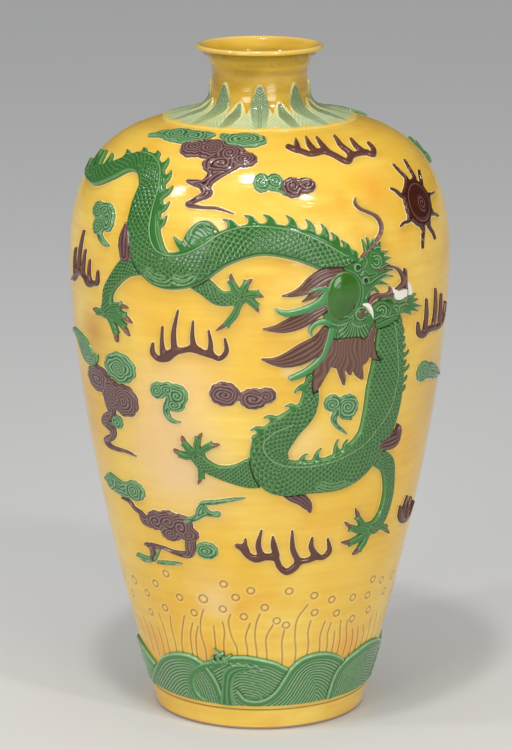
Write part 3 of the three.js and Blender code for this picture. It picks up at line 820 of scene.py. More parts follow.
GREEN = Glaze("green_glaze", (0.032, 0.150, 0.026), (0.004, 0.025, 0.005), (0.28, 0.52, 0.20),
              (0.060, 0.215, 0.048))
WAVE_GREEN = Glaze("green_glaze", (0.046, 0.190, 0.048), (0.007, 0.045, 0.012), (0.46, 0.68, 0.38),
                   (0.080, 0.260, 0.080))
DOME_GREEN = Glaze("green_glaze", (0.036, 0.170, 0.016), (0.010, 0.055, 0.008), (0.42, 0.64, 0.30),
                   (0.040, 0.095, 0.010), cloud_scale=40.0, cloud_share=0.9)
HORN_GREEN = Glaze("green_glaze", (0.050, 0.220, 0.058), (0.012, 0.060, 0.016), (0.50, 0.72, 0.42),
                   (0.070, 0.260, 0.080), roughness=0.12)
AUBERGINE = Glaze("aubergine_glaze", (0.125, 0.046, 0.040), (0.016, 0.005, 0.005), (0.42, 0.270, 0.250),
                  (0.165, 0.080, 0.078), roughness=0.09)
HAIR_BROWN = Glaze("aubergine_glaze", (0.140, 0.056, 0.034), (0.030, 0.010, 0.007), (0.40, 0.240, 0.180),
                   (0.190, 0.095, 0.070))
FLAME_BROWN = Glaze("aubergine_glaze", (0.092, 0.028, 0.017), (0.040, 0.011, 0.007), (0.34, 0.170, 0.120),
                    (0.150, 0.062, 0.048))
SUN_BROWN = Glaze("aubergine_glaze", (0.052, 0.009, 0.003), (0.014, 0.003, 0.002), (0.26, 0.110, 0.085),
                  (0.085, 0.022, 0.010), cloud_scale=60.0)
PALE_GREEN = Glaze("pale_green_glaze", (0.51, 0.63, 0.35), (0.014, 0.078, 0.014), (0.86, 0.88, 0.60),
                   (0.54, 0.58, 0.20), cloud_scale=30.0, cloud_share=0.55)
WHITE = Glaze("white_glaze", (0.80, 0.77, 0.66), (0.40, 0.33, 0.20), (0.88, 0.87, 0.82),
              (0.80, 0.73, 0.56))
BLACK = Glaze("aubergine_glaze", (0.010, 0.006, 0.005), (0.004, 0.003, 0.003), (0.03, 0.02, 0.02),
              (0.012, 0.008, 0.007), roughness=0.10)

# The wall's yellow where it has run into another glaze, and its straw and tan where it meets the clay, a pale
# fringe that is partly a painted highlight round each motif
RUN_YELLOW = (0.84, 0.55, 0.085)
STRAW = (0.92, 0.74, 0.38)
TAN = (0.86, 0.60, 0.18)
# The yellow where an edge is worn, which on the lip's crest is partly a painted highlight, and the bare clay
# of the foot
WORN_AND_HIGHLIT_YELLOW = (0.90, 0.70, 0.34)
BISCUIT = (0.42, 0.26, 0.16)
# How strongly light bends in a lead glaze, and the depth of its surface's ripples in metres
GLAZE_IOR = 1.55
RIPPLE = 0.0006


class Value:
    """A socket that carries a number, with Python's operators for shader maths."""

    def __init__(self, graph: "Graph", socket: NodeSocket) -> None:
        """Keeps the socket and the graph that it belongs to."""
        self.graph = graph
        self.socket = socket

    def _with(self, operation: str, *others: "Value | float") -> "Value":
        """A Math node on this value and others."""
        node = self.graph.node("ShaderNodeMath", {"operation": operation}, {
            i: other for i, other in enumerate((self, *others))})
        return Value(self.graph, node.outputs[0])

    def __add__(self, other: "Value | float") -> "Value":
        """Sum."""
        return self._with("ADD", other)

    __radd__ = __add__

    def __mul__(self, other: "Value | float") -> "Value":
        """Product."""
        return self._with("MULTIPLY", other)

    __rmul__ = __mul__

    def __sub__(self, other: "Value | float") -> "Value":
        """Difference."""
        return self._with("SUBTRACT", other)

    def __rsub__(self, other: float) -> "Value":
        """Difference from a plain number."""
        node = self.graph.node("ShaderNodeMath", {"operation": "SUBTRACT"}, {0: other, 1: self})
        return Value(self.graph, node.outputs[0])

    def clamped(self, low: float, high: float) -> "Value":
        """The value's way from low to high, kept between 0 and 1."""
        node = self.graph.node("ShaderNodeMapRange", {"clamp": True}, {
            "Value": self, "From Min": low, "From Max": high, "To Min": 0.0, "To Max": 1.0})
        return Value(self.graph, node.outputs["Result"])


class Graph:
    """A material's node tree, built by calls that take node types, settings and socket values."""

    def __init__(self, name: str) -> None:
        """Starts a material with an empty tree.

        Args:
            name: the material's name.
        """
        self.material = bpy.data.materials.new(name)
        self.material.use_nodes = True
        self.tree = self.material.node_tree
        self.tree.nodes.clear()

    def node(self, kind: str, settings: dict | None = None, sockets: dict | None = None) -> Node:
        """Adds a node.

        Args:
            kind: the node's type.
            settings: properties set before its sockets.
            sockets: values or links, by socket name or index.

        Returns:
            The new node.
        """
        made = self.tree.nodes.new(kind)
        for key, value in (settings or {}).items():
            setattr(made, key, value)
        for key, value in (sockets or {}).items():
            source = value.socket if isinstance(value, Value) else value
            if isinstance(source, NodeSocket):
                self.tree.links.new(source, made.inputs[key])
            else:
                made.inputs[key].default_value = source
        return made

    def attribute(self, name: str) -> Value:
        """A number stored on the mesh's points."""
        return Value(self, self.node("ShaderNodeAttribute", {"attribute_name": name}).outputs["Fac"])

    @cached_property
    def here(self) -> NodeSocket:
        """Object coordinates."""
        return self.node("ShaderNodeTexCoord").outputs["Object"]

    def place(self, scale: tuple[float, float, float] = (1.0, 1.0, 1.0)) -> NodeSocket:
        """Object coordinates, stretched."""
        return self.node("ShaderNodeMapping", None, {"Vector": self.here, "Scale": scale}).outputs["Vector"]

    def noise(self, where: NodeSocket, scale: float, detail: float = 3.0) -> Value:
        """Cloudy noise from 0 to 1."""
        node = self.node("ShaderNodeTexNoise", None, {"Vector": where, "Scale": scale, "Detail": detail})
        return Value(self, node.outputs["Fac"])

    def apart(self, spot: Sequence[float]) -> Value:
        """Distance from a fixed place, in metres."""
        node = self.node("ShaderNodeVectorMath", {"operation": "DISTANCE"},
                         {0: self.here, 1: tuple(float(value) for value in spot)})
        return Value(self, node.outputs["Value"])

    def mix(self, share: "Value | float", a: object, b: object) -> NodeSocket:
        """A colour between two colours, each a socket or three numbers."""
        ends = ((*end, 1.0) if isinstance(end, tuple) else end for end in (a, b))
        node = self.node("ShaderNodeMix", {"data_type": "RGBA"}, dict(zip((0, 6, 7), (share, *ends))))
        return node.outputs[2]

    def finish(self, colour: NodeSocket, roughness: "Value | float",
               bump: Value | None, strength: float = 0.1) -> Material:
        """Closes the tree with a glossy surface of that colour.

        Args:
            colour: the surface's colour.
            roughness: its roughness.
            bump: the field that ripples it, if any.
            strength: how strong the ripples are.

        Returns:
            The finished material.
        """
        shader = self.node("ShaderNodeBsdfPrincipled", None, {"Base Color": colour, "Roughness": roughness})
        shader.inputs["IOR"].default_value = GLAZE_IOR
        if bump is not None:
            normal = self.node("ShaderNodeBump", None, {"Strength": strength, "Distance": RIPPLE,
                                                        "Height": bump})
            self.tree.links.new(normal.outputs["Normal"], shader.inputs["Normal"])
        self.node("ShaderNodeOutputMaterial", None, {"Surface": shader.outputs["BSDF"]})
        return self.material


def relief_material(name: str, glaze: Glaze) -> Material:
    """A glaze that darkens where it pools in cuts and pales where it thins over edges; the darkening also
    paints shade in gullies and at outlines, and the paling paints highlights on rims and edges.

    Args:
        name: the material's name.
        glaze: its colours and gloss.

    Returns:
        The material.
    """
    graph = Graph(name)
    clouds = graph.noise(graph.place(), glaze.cloud_scale).clamped(0.35, 0.7)
    fine = graph.noise(graph.place(), glaze.fine_scale, 2.0)
    colour = graph.mix(clouds * glaze.cloud_share, glaze.body, glaze.cloudy)
    # Glaze pooling darkens, partly as painted shade; glaze thinning pales, partly as painted highlights
    pooled_and_shaded = (graph.attribute("pool") * (0.75 + 0.5 * fine)).clamped(0.0, 1.0)
    colour = graph.mix(pooled_and_shaded * glaze.pooled_and_shaded_share, colour, glaze.pooled_and_shaded)
    thinned_and_highlit = (graph.attribute("thin") * (0.45 + fine)).clamped(0.0, 1.0)
    colour = graph.mix(thinned_and_highlit * glaze.thinned_and_highlit_share, colour, glaze.thinned_and_highlit)
    colour = graph.mix(graph.attribute("warm").clamped(0.0, 1.0), colour, RUN_YELLOW)
    # Pale fringe round each motif: partly thinning glaze, partly a painted highlight
    pale = graph.mix(clouds, STRAW, TAN)
    colour = graph.mix(graph.attribute("halo_and_highlight").clamped(0.0, 1.0), colour, pale)
    roughness = glaze.roughness + 0.06 * fine
    return graph.finish(colour, roughness, graph.noise(graph.place(), glaze.ripple_scale), glaze.ripple)


@dataclass(frozen=True)
class StainOrShade:
    """A soft patch of the yellow glaze that differs from the rest: stained glaze, except on the flanks, where
    it is painted shade.
    """

    turn: float
    tape: float
    reach: float
    colour: Colour
    strength: float


@dataclass(frozen=True)
class YellowGlaze:
    """The wall's egg-yolk glaze, streaked by turning, with straw, pink and orange stained patches, and darker
    patches of painted shade on its flanks.
    """

    body: Colour = (0.84, 0.51, 0.050)
    light: Colour = (0.92, 0.68, 0.150)
    deep: Colour = (0.64, 0.29, 0.016)
    blotch: Colour = (0.80, 0.40, 0.030)
    line: Colour = (0.16, 0.055, 0.012)
    light_share: float = 0.75
    blotch_share: float = 0.6
    deep_share: float = 0.28
    line_share: float = 0.85
    worn_and_highlight_share: float = 0.6
    ripple: float = 0.35
    stains_and_shade: tuple[StainOrShade, ...] = (
        # The darker patches at turns -60, -70, 66 and 74 are painted shade on the flanks; the others are
        # stained glaze
        StainOrShade(-27, 212, 52, (0.82, 0.56, 0.27), 1.0), StainOrShade(-30, 262, 48, (0.84, 0.57, 0.27), 0.95),
        StainOrShade(-19, 292, 34, (0.85, 0.55, 0.24), 0.7), StainOrShade(-36, 232, 36, (0.82, 0.53, 0.22), 0.8),
        StainOrShade(-18, 108, 18, (0.88, 0.74, 0.46), 0.9), StainOrShade(-20, 122, 26, (0.84, 0.58, 0.26), 0.7),
        StainOrShade(40, 417, 22, (0.82, 0.33, 0.02), 0.9), StainOrShade(33, 426, 13, (0.84, 0.46, 0.03), 0.8),
        StainOrShade(27, 412, 9, (0.80, 0.38, 0.02), 0.7), StainOrShade(45, 398, 12, (0.82, 0.42, 0.03), 0.7),
        StainOrShade(-60, 305, 26, (0.55, 0.22, 0.014), 0.8), StainOrShade(-8, 330, 26, (0.78, 0.40, 0.03), 0.6),
        StainOrShade(44, 66, 24, (0.80, 0.33, 0.03), 0.8), StainOrShade(-22, 66, 20, (0.80, 0.31, 0.03), 0.8),
        StainOrShade(-55, 64, 24, (0.80, 0.33, 0.03), 0.8), StainOrShade(9, 293, 9, (0.86, 0.80, 0.52), 1.0),
        StainOrShade(12, 240, 26, (0.88, 0.66, 0.30), 0.7), StainOrShade(-70, 240, 40, (0.60, 0.28, 0.02), 0.7),
        StainOrShade(74, 250, 60, (0.62, 0.30, 0.02), 0.7), StainOrShade(66, 400, 30, (0.70, 0.38, 0.03), 0.6),
        StainOrShade(150, 260, 50, (0.84, 0.57, 0.27), 0.9), StainOrShade(-150, 180, 36, (0.82, 0.40, 0.04), 0.7),
    )
    # Straw to brown over the neck: a tape distance, how far it reaches, and its colour
    neck: tuple[float, float, Colour] = (545.0, 62.0, (0.35, 0.20, 0.012))

    def dress(self, name: str, wall: WallLine) -> Material:
        """The material, with its stained patches and patches of painted shade placed on the wall.

        Args:
            name: the material's name.
            wall: the wall's line.

        Returns:
            The material.
        """
        graph = Graph(name)
        streaks = graph.noise(graph.place((4.0, 4.0, 60.0)), 3.0, 5.0).clamped(0.34, 0.76)
        clouds = graph.noise(graph.place(), 9.0, 3.0).clamped(0.38, 0.66)
        fine = graph.noise(graph.place(), 300.0, 2.0)
        blotches = graph.noise(graph.place((1.0, 1.0, 1.6)), 24.0, 5.0).clamped(0.5, 0.74)
        colour = graph.mix(clouds * self.light_share, self.body, self.light)
        colour = graph.mix(blotches * self.blotch_share, colour, self.blotch)
        colour = graph.mix(streaks * self.deep_share, colour, self.deep)
        # Stained patches, and patches of painted shade on the flanks
        for stain_or_shade in self.stains_and_shade:
            spot = wall.place(np.array([stain_or_shade.turn]), np.array([stain_or_shade.tape]), 0.0)[0]
            near = graph.apart(spot).clamped(stain_or_shade.reach * MM, 0.15 * stain_or_shade.reach * MM)
            colour = graph.mix(near * stain_or_shade.strength * (0.4 + 0.6 * clouds), colour, stain_or_shade.colour)
        middle, reach, tan = self.neck
        near = graph.apart((0.0, 0.0, wall.at(middle)[1] * MM)).clamped(reach * MM, 0.5 * reach * MM)
        colour = graph.mix(near * (0.55 + 0.45 * blotches + 0.4 * streaks).clamped(0.0, 1.0), colour, tan)
        # Dark brown in cut lines and under the lip's bead, partly painted shade there; pale yellow on worn
        # edges and the lip's crest, partly a painted highlight there
        pooled_and_shaded = graph.attribute("pool").clamped(0.0, 1.0)
        colour = graph.mix(pooled_and_shaded * self.line_share, colour, self.line)
        colour = graph.mix(graph.attribute("thin").clamped(0.0, 1.0) * self.worn_and_highlight_share, colour, WORN_AND_HIGHLIT_YELLOW)
        bare = graph.attribute("bare").clamped(0.3, 0.7)
        colour = graph.mix(bare, colour, BISCUIT)
        roughness = 0.10 + 0.07 * fine + 0.45 * bare
        height = graph.noise(graph.place((1.0, 1.0, 5.0)), 60.0, 4.0)
        return graph.finish(colour, roughness, height, self.ripple)


# Meshes


@dataclass
class Skin:
    """A mesh in the making: points in metres, polygons and numbers on the points."""

    points: Array
    corners: Array
    sizes: Array
    numbers: dict[str, Array]
    flat: Array | None = None

    def build(self, name: str, material: Material, slot: str) -> Object:
        """Makes the object, which rides on the vase's one body.

        Args:
            name: the piece's name.
            material: the glaze that dresses it.
            slot: the slot of the frame that the glaze belongs to, not used.

        Returns:
            The object.
        """
        mesh = bpy.data.meshes.new(name)
        mesh.vertices.add(len(self.points))
        mesh.vertices.foreach_set("co", self.points.astype(np.float32).ravel())
        mesh.loops.add(len(self.corners))
        mesh.loops.foreach_set("vertex_index", self.corners.astype(np.int32))
        mesh.polygons.add(len(self.sizes))
        starts = np.concatenate([[0], np.cumsum(self.sizes)[:-1]])
        mesh.polygons.foreach_set("loop_start", starts.astype(np.int32))
        smooth = np.ones(len(self.sizes), dtype=bool) if self.flat is None else ~self.flat
        mesh.polygons.foreach_set("use_smooth", smooth)
        mesh.update(calc_edges=True)
        mesh.validate()
        for key, values in self.numbers.items():
            mesh.attributes.new(key, "FLOAT", "POINT").data.foreach_set("value", values.astype(np.float32))
        mesh.materials.append(material)
        made = bpy.data.objects.new(name, mesh)
        bpy.context.scene.collection.objects.link(made)
        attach(made, BODY)
        return made


def cell_polygon(code: int) -> list[int]:
    """Walks round a grid cell, keeping its corners inside and the crossings between unlike corners.

    Args:
        code: which of the four corners lie inside, as four bits.

    Returns:
        The polygon that is left: 0 to 3 are the corners, and 4 to 7 the crossings on the four sides.
    """
    walked = []
    for i in range(4):
        here, after = code >> i & 1, code >> (i + 1) % 4 & 1
        if here:
            walked.append(i)
        if here != after:
            walked.append(4 + i)
    return walked


def strung(groups: list[Array]) -> tuple[Array, Array]:
    """Polygons given in groups of one size, strung into one run of corners, with each one's size."""
    sizes = [np.full(len(group), group.shape[1]) for group in groups]
    return np.concatenate([group.ravel() for group in groups]), np.concatenate(sizes)


@dataclass
class Patch:
    """A grid on the flat sheet, cut along the line where a field is zero.

    Its top has the corners and sizes of its polygons, and under holds the fewer that its underside has.
    """

    x: Array
    y: Array
    depth: Array
    corners: Array
    sizes: Array
    under: Array
    under_sizes: Array

    @staticmethod
    def merged(full: Array, number: Array, side: int = 8) -> tuple[Array, Array]:
        """Takes square blocks of cells together where every cell is whole.

        Args:
            full: for each cell, whether it lies wholly inside.
            number: the grid points' numbers.
            side: cells along one side of a block.

        Returns:
            For each cell whether a block holds it, and for each block the points round its rim.
        """
        high, wide = full.shape[0] // side, full.shape[1] // side
        whole = full[:high * side, :wide * side].reshape(high, side, wide, side).all(axis=(1, 3))
        held = np.zeros_like(full)
        held[:high * side, :wide * side] = np.repeat(np.repeat(whole, side, axis=0), side, axis=1)
        row, column = (side * place[:, None] for place in np.nonzero(whole))
        steps, none = np.arange(side), np.zeros(side, dtype=int)
        walk_rows = np.concatenate([none, steps, none + side, side - steps])
        walk_columns = np.concatenate([steps, none + side, side - steps, none])
        return held, number[row + walk_rows, column + walk_columns]

    @staticmethod
    def cut(box: Box, step: float, inside: Callable) -> "Patch":
        """Cuts the grid: cells wholly inside stay, and those that the line crosses are clipped on it.

        Args:
            box: lowest and highest x, then lowest and highest y.
            step: the grid's spacing.
            inside: the field, positive inside, of arrays of x and y.

        Returns:
            The clipped grid with only the points that it uses.
        """
        xs = np.arange(box[0] - 2 * step, box[1] + 3 * step, step)
        ys = np.arange(box[2] - 2 * step, box[3] + 3 * step, step)
        grid_x, grid_y = np.meshgrid(xs, ys)
        depth = inside(grid_x.ravel(), grid_y.ravel()).reshape(grid_x.shape)
        depth[[0, -1], :] = -1.0
        depth[:, [0, -1]] = -1.0
        rows, columns = depth.shape
        number = np.arange(rows * columns).reshape(rows, columns)
        level = rows * columns + np.arange(rows * (columns - 1)).reshape(rows, columns - 1)
        upright = rows * columns + rows * (columns - 1)
        upright = upright + np.arange((rows - 1) * columns).reshape(rows - 1, columns)

        def crossing(values: Array, axis: int) -> Array:
            """Values where the field is zero between neighbours along an axis.

            Args:
                values: values on the grid.
                axis: 0 for neighbours up the grid, 1 for neighbours across it.

            Returns:
                One value for each pair of neighbours.
            """
            a, low = (np.delete(grid, -1, axis) for grid in (depth, values))
            b, high = (np.delete(grid, 0, axis) for grid in (depth, values))
            apart = np.where(np.abs(a - b) < 1e-9, 1.0, a - b)
            return low + np.clip(a / apart, 0.02, 0.98) * (high - low)

        x, y = (np.concatenate([values.ravel(), crossing(values, 1).ravel(), crossing(values, 0).ravel()])
                for values in (grid_x, grid_y))
        field_there = np.concatenate([depth.ravel(), np.zeros(x.size - depth.size)])
        spots = np.stack([number[:-1, :-1], number[:-1, 1:], number[1:, 1:], number[1:, :-1],
                          level[:-1], upright[:, 1:], level[1:], upright[:, :-1]], axis=-1).reshape(-1, 8)
        signs = depth > 0
        codes = (signs[:-1, :-1] * 1 + signs[:-1, 1:] * 2 + signs[1:, 1:] * 4 + signs[1:, :-1] * 8).ravel()
        held, rims = Patch.merged((codes == 15).reshape(rows - 1, columns - 1), number)
        above, under = [], [rims]
        for code in range(1, 16):
            polygon = cell_polygon(code)
            above.append(spots[codes == code][:, polygon])
            under.append(spots[(codes == code) & ~held.ravel()][:, polygon])
        used, corners = np.unique(strung(above)[0], return_inverse=True)
        under, under_sizes = strung(under)
        return Patch(x[used], y[used], field_there[used], corners.ravel(), strung(above)[1],
                     np.searchsorted(used, under), under_sizes)

    def coarse(self) -> "Patch":
        """The same patch with its merged blocks on top as well as below.

        Returns:
            A patch with far fewer polygons and the same outline.
        """
        used, corners = np.unique(self.under, return_inverse=True)
        corners = corners.ravel()
        return Patch(self.x[used], self.y[used], self.depth[used], corners, self.under_sizes,
                     corners, self.under_sizes)

    def closed(self) -> tuple[Array, Array, Array]:
        """Adds a coarser underside that shares the rim's points.

        Returns:
            For each underside point its top point, then the corners and sizes of all the polygons.
        """
        needed = np.unique(self.under)
        within = needed[self.depth[needed] > 0]
        below = np.arange(len(self.x))
        below[within] = len(self.x) + np.arange(len(within))
        starts = np.concatenate([[0], np.cumsum(self.under_sizes)[:-1]])
        owner = np.repeat(np.arange(len(self.under_sizes)), self.under_sizes)
        inside_run = np.arange(len(self.under)) - starts[owner]
        mirrored = self.under[starts[owner] + self.under_sizes[owner] - 1 - inside_run]
        corners = np.concatenate([self.corners, below[mirrored]])
        return within, corners, np.concatenate([self.sizes, self.under_sizes])


@dataclass
class Shell:
    """A closed skin on the flat sheet: places, heights off the wall, polygons and numbers."""

    x: Array
    y: Array
    off: Array
    corners: Array
    sizes: Array
    numbers: dict[str, Array]

    @staticmethod
    def over(patch: Patch, off: Array, numbers: dict[str, Array]) -> "Shell":
        """Closes a patch of given heights with its level underside.

        Args:
            patch: the cut grid.
            off: the height at each of its points.
            numbers: numbers at each of its points.

        Returns:
            The closed skin.
        """
        within, corners, sizes = patch.closed()
        source = np.concatenate([np.arange(patch.x.size), within])
        return Shell(patch.x[source], patch.y[source], np.concatenate([off, np.full(within.size, UNDERSIDE)]),
                     corners, sizes, {key: values[source] for key, values in numbers.items()})

    def joined(self, other: "Shell") -> "Shell":
        """Both shells in one.

        Args:
            other: the shell whose points and polygons follow this one's.

        Returns:
            The joined shell.
        """
        return Shell(np.concatenate([self.x, other.x]), np.concatenate([self.y, other.y]),
                     np.concatenate([self.off, other.off]),
                     np.concatenate([self.corners, other.corners + self.x.size]),
                     np.concatenate([self.sizes, other.sizes]),
                     {key: np.concatenate([self.numbers[key], other.numbers[key]]) for key in self.numbers})


@dataclass
class Motif:
    """One raised piece of the ornament: shapes joined, with others cut away, and lines cut in.

    It replaces the nodes that it names, or the one of its own name. Its lift raises it, its gap is the
    room left round what lies over it, and its floor cuts it off level. The pale fringe round it has a
    width, a brim's height and a grid of its own.
    """

    name: str
    glaze: Glaze
    sheet: Sheet
    shapes: list[Shape]
    cuts: list[Tool] = field(default_factory=list)
    beneath: list["Motif"] = field(default_factory=list)
    nodes: tuple[str, ...] | None = None
    step: float = 0.58
    fillet: float = 1.2
    thin_edge: float = 0.55
    lift: float = 0.0
    gap: float = 0.12
    floor: float = -100.0
    fringe: float = 1.1
    brim: float = 0.3
    fringe_step: float = 1.4

    def outline(self, x: Array, y: Array) -> Array:
        """Depth inside the joined outline of its own shapes.

        Args:
            x: millimetres across the sheet.
            y: millimetres up it.

        Returns:
            The depths in millimetres, positive inside.
        """
        depth = np.full(x.size, -MARGIN)
        for shape in self.shapes:
            depth = smooth_max(depth, culled(shape, shape.depth, x, y, -MARGIN), self.fillet)
        return depth

    def inside(self, x: Array, y: Array, fringe: float = 0.0) -> Array:
        """Depth inside the joined outline and a fringe round it, less whatever lies over it.

        Args:
            x: millimetres across the sheet.
            y: millimetres up it.
            fringe: how much wider the outline is taken.

        Returns:
            The depths in millimetres, positive inside.
        """
        depth = self.outline(x, y) + fringe
        for over in self.beneath:
            depth = np.minimum(depth, -self.gap - over.inside(x, y))
        return np.minimum(depth, y - self.floor)

    def height(self, x: Array, y: Array, depth: Array) -> Array:
        """Height of the joined shapes, brought down to the rim at the outline.

        Args:
            x: millimetres across the sheet.
            y: millimetres up it.
            depth: depth inside the motif at each place.

        Returns:
            The heights off the wall.
        """
        tall = np.full(x.size, RIM)
        for shape in self.shapes:
            tall = smooth_max(tall, culled(shape, shape.height, x, y, RIM), 0.25)
        edge = rounded(depth, 1.0)
        tall = np.maximum(tall, 1.2) * edge + RIM * (1 - edge)
        return tall + self.lift * edge

    @property
    def box(self) -> Box:
        """The box of all its shapes."""
        boxes = np.array([shape.box for shape in self.shapes])
        return (boxes[:, 0].min() - self.fringe, boxes[:, 1].max() + self.fringe,
                boxes[:, 2].min() - self.fringe, boxes[:, 3].max() + self.fringe)

    def skirt(self) -> Shell:
        """The low pale fringe where the wall's glaze runs up to the clay, level under the relief; its
        paleness is partly a painted highlight round the motif.

        Returns:
            The fringe as a closed skin.
        """
        patch = Patch.cut(self.box, self.fringe_step, lambda x, y: self.inside(x, y, self.fringe)).coarse()
        off = RIM + self.brim * way(patch.depth, 0.0, self.fringe)
        none = np.zeros(patch.x.size)
        return Shell.over(patch, off, {"pool": none, "thin": none, "halo_and_highlight": none + 1.0})

    def make(self, material: Material) -> list[Object]:
        """Cuts the patch, raises it and wraps it onto both faces of the vase.

        Args:
            material: the glaze that dresses it.

        Returns:
            The front piece and the back one.
        """
        patch = Patch.cut(self.box, self.step, self.inside)
        x, y, depth = patch.x, patch.y, patch.depth
        own = np.maximum(self.outline(x, y), depth) if self.beneath else depth
        cut = Cut.none(x.size)
        for tool in self.cuts:
            cut = cut.over(tool.carve(x, y, own))
        height = self.height(x, y, own)
        height -= cut.drop * way(own, 0.0, 1.2)
        # Along the outline: a pale band just inside the edge, partly glaze thinning and partly a painted
        # highlight on the raised edge, and a dark line at the edge, partly glaze pooling and partly painted
        # contact shade
        thin = np.maximum(cut.thin, self.thin_edge * bell(own - 0.6, 0.38))
        pool = np.maximum(cut.pool, 0.5 * bell(np.maximum(own - 0.05, 0.0), 0.3))
        shell = Shell.over(patch, np.where(depth > 0, height, RIM),
                           {"pool": pool, "thin": thin, "halo_and_highlight": np.zeros(x.size)})
        if self.fringe:
            shell = shell.joined(self.skirt())
        made = []
        for face in Face:
            side = face.name.lower()
            points = self.sheet.bend(shell.x, shell.y, shell.off, face)
            piece = Skin(points, shell.corners, shell.sizes, shell.numbers).build(
                f"{side}_{self.name}_glazed", material, self.glaze.slot)
            replaced = (self.name,) if self.nodes is None else self.nodes
            for node in replaced:
                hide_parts(f"{side}_{node}")
            made.append(piece)
        LOG.info("%s: %d points, %d polygons on each face", self.name, shell.x.size, shell.sizes.size)
        return made


# The dragon


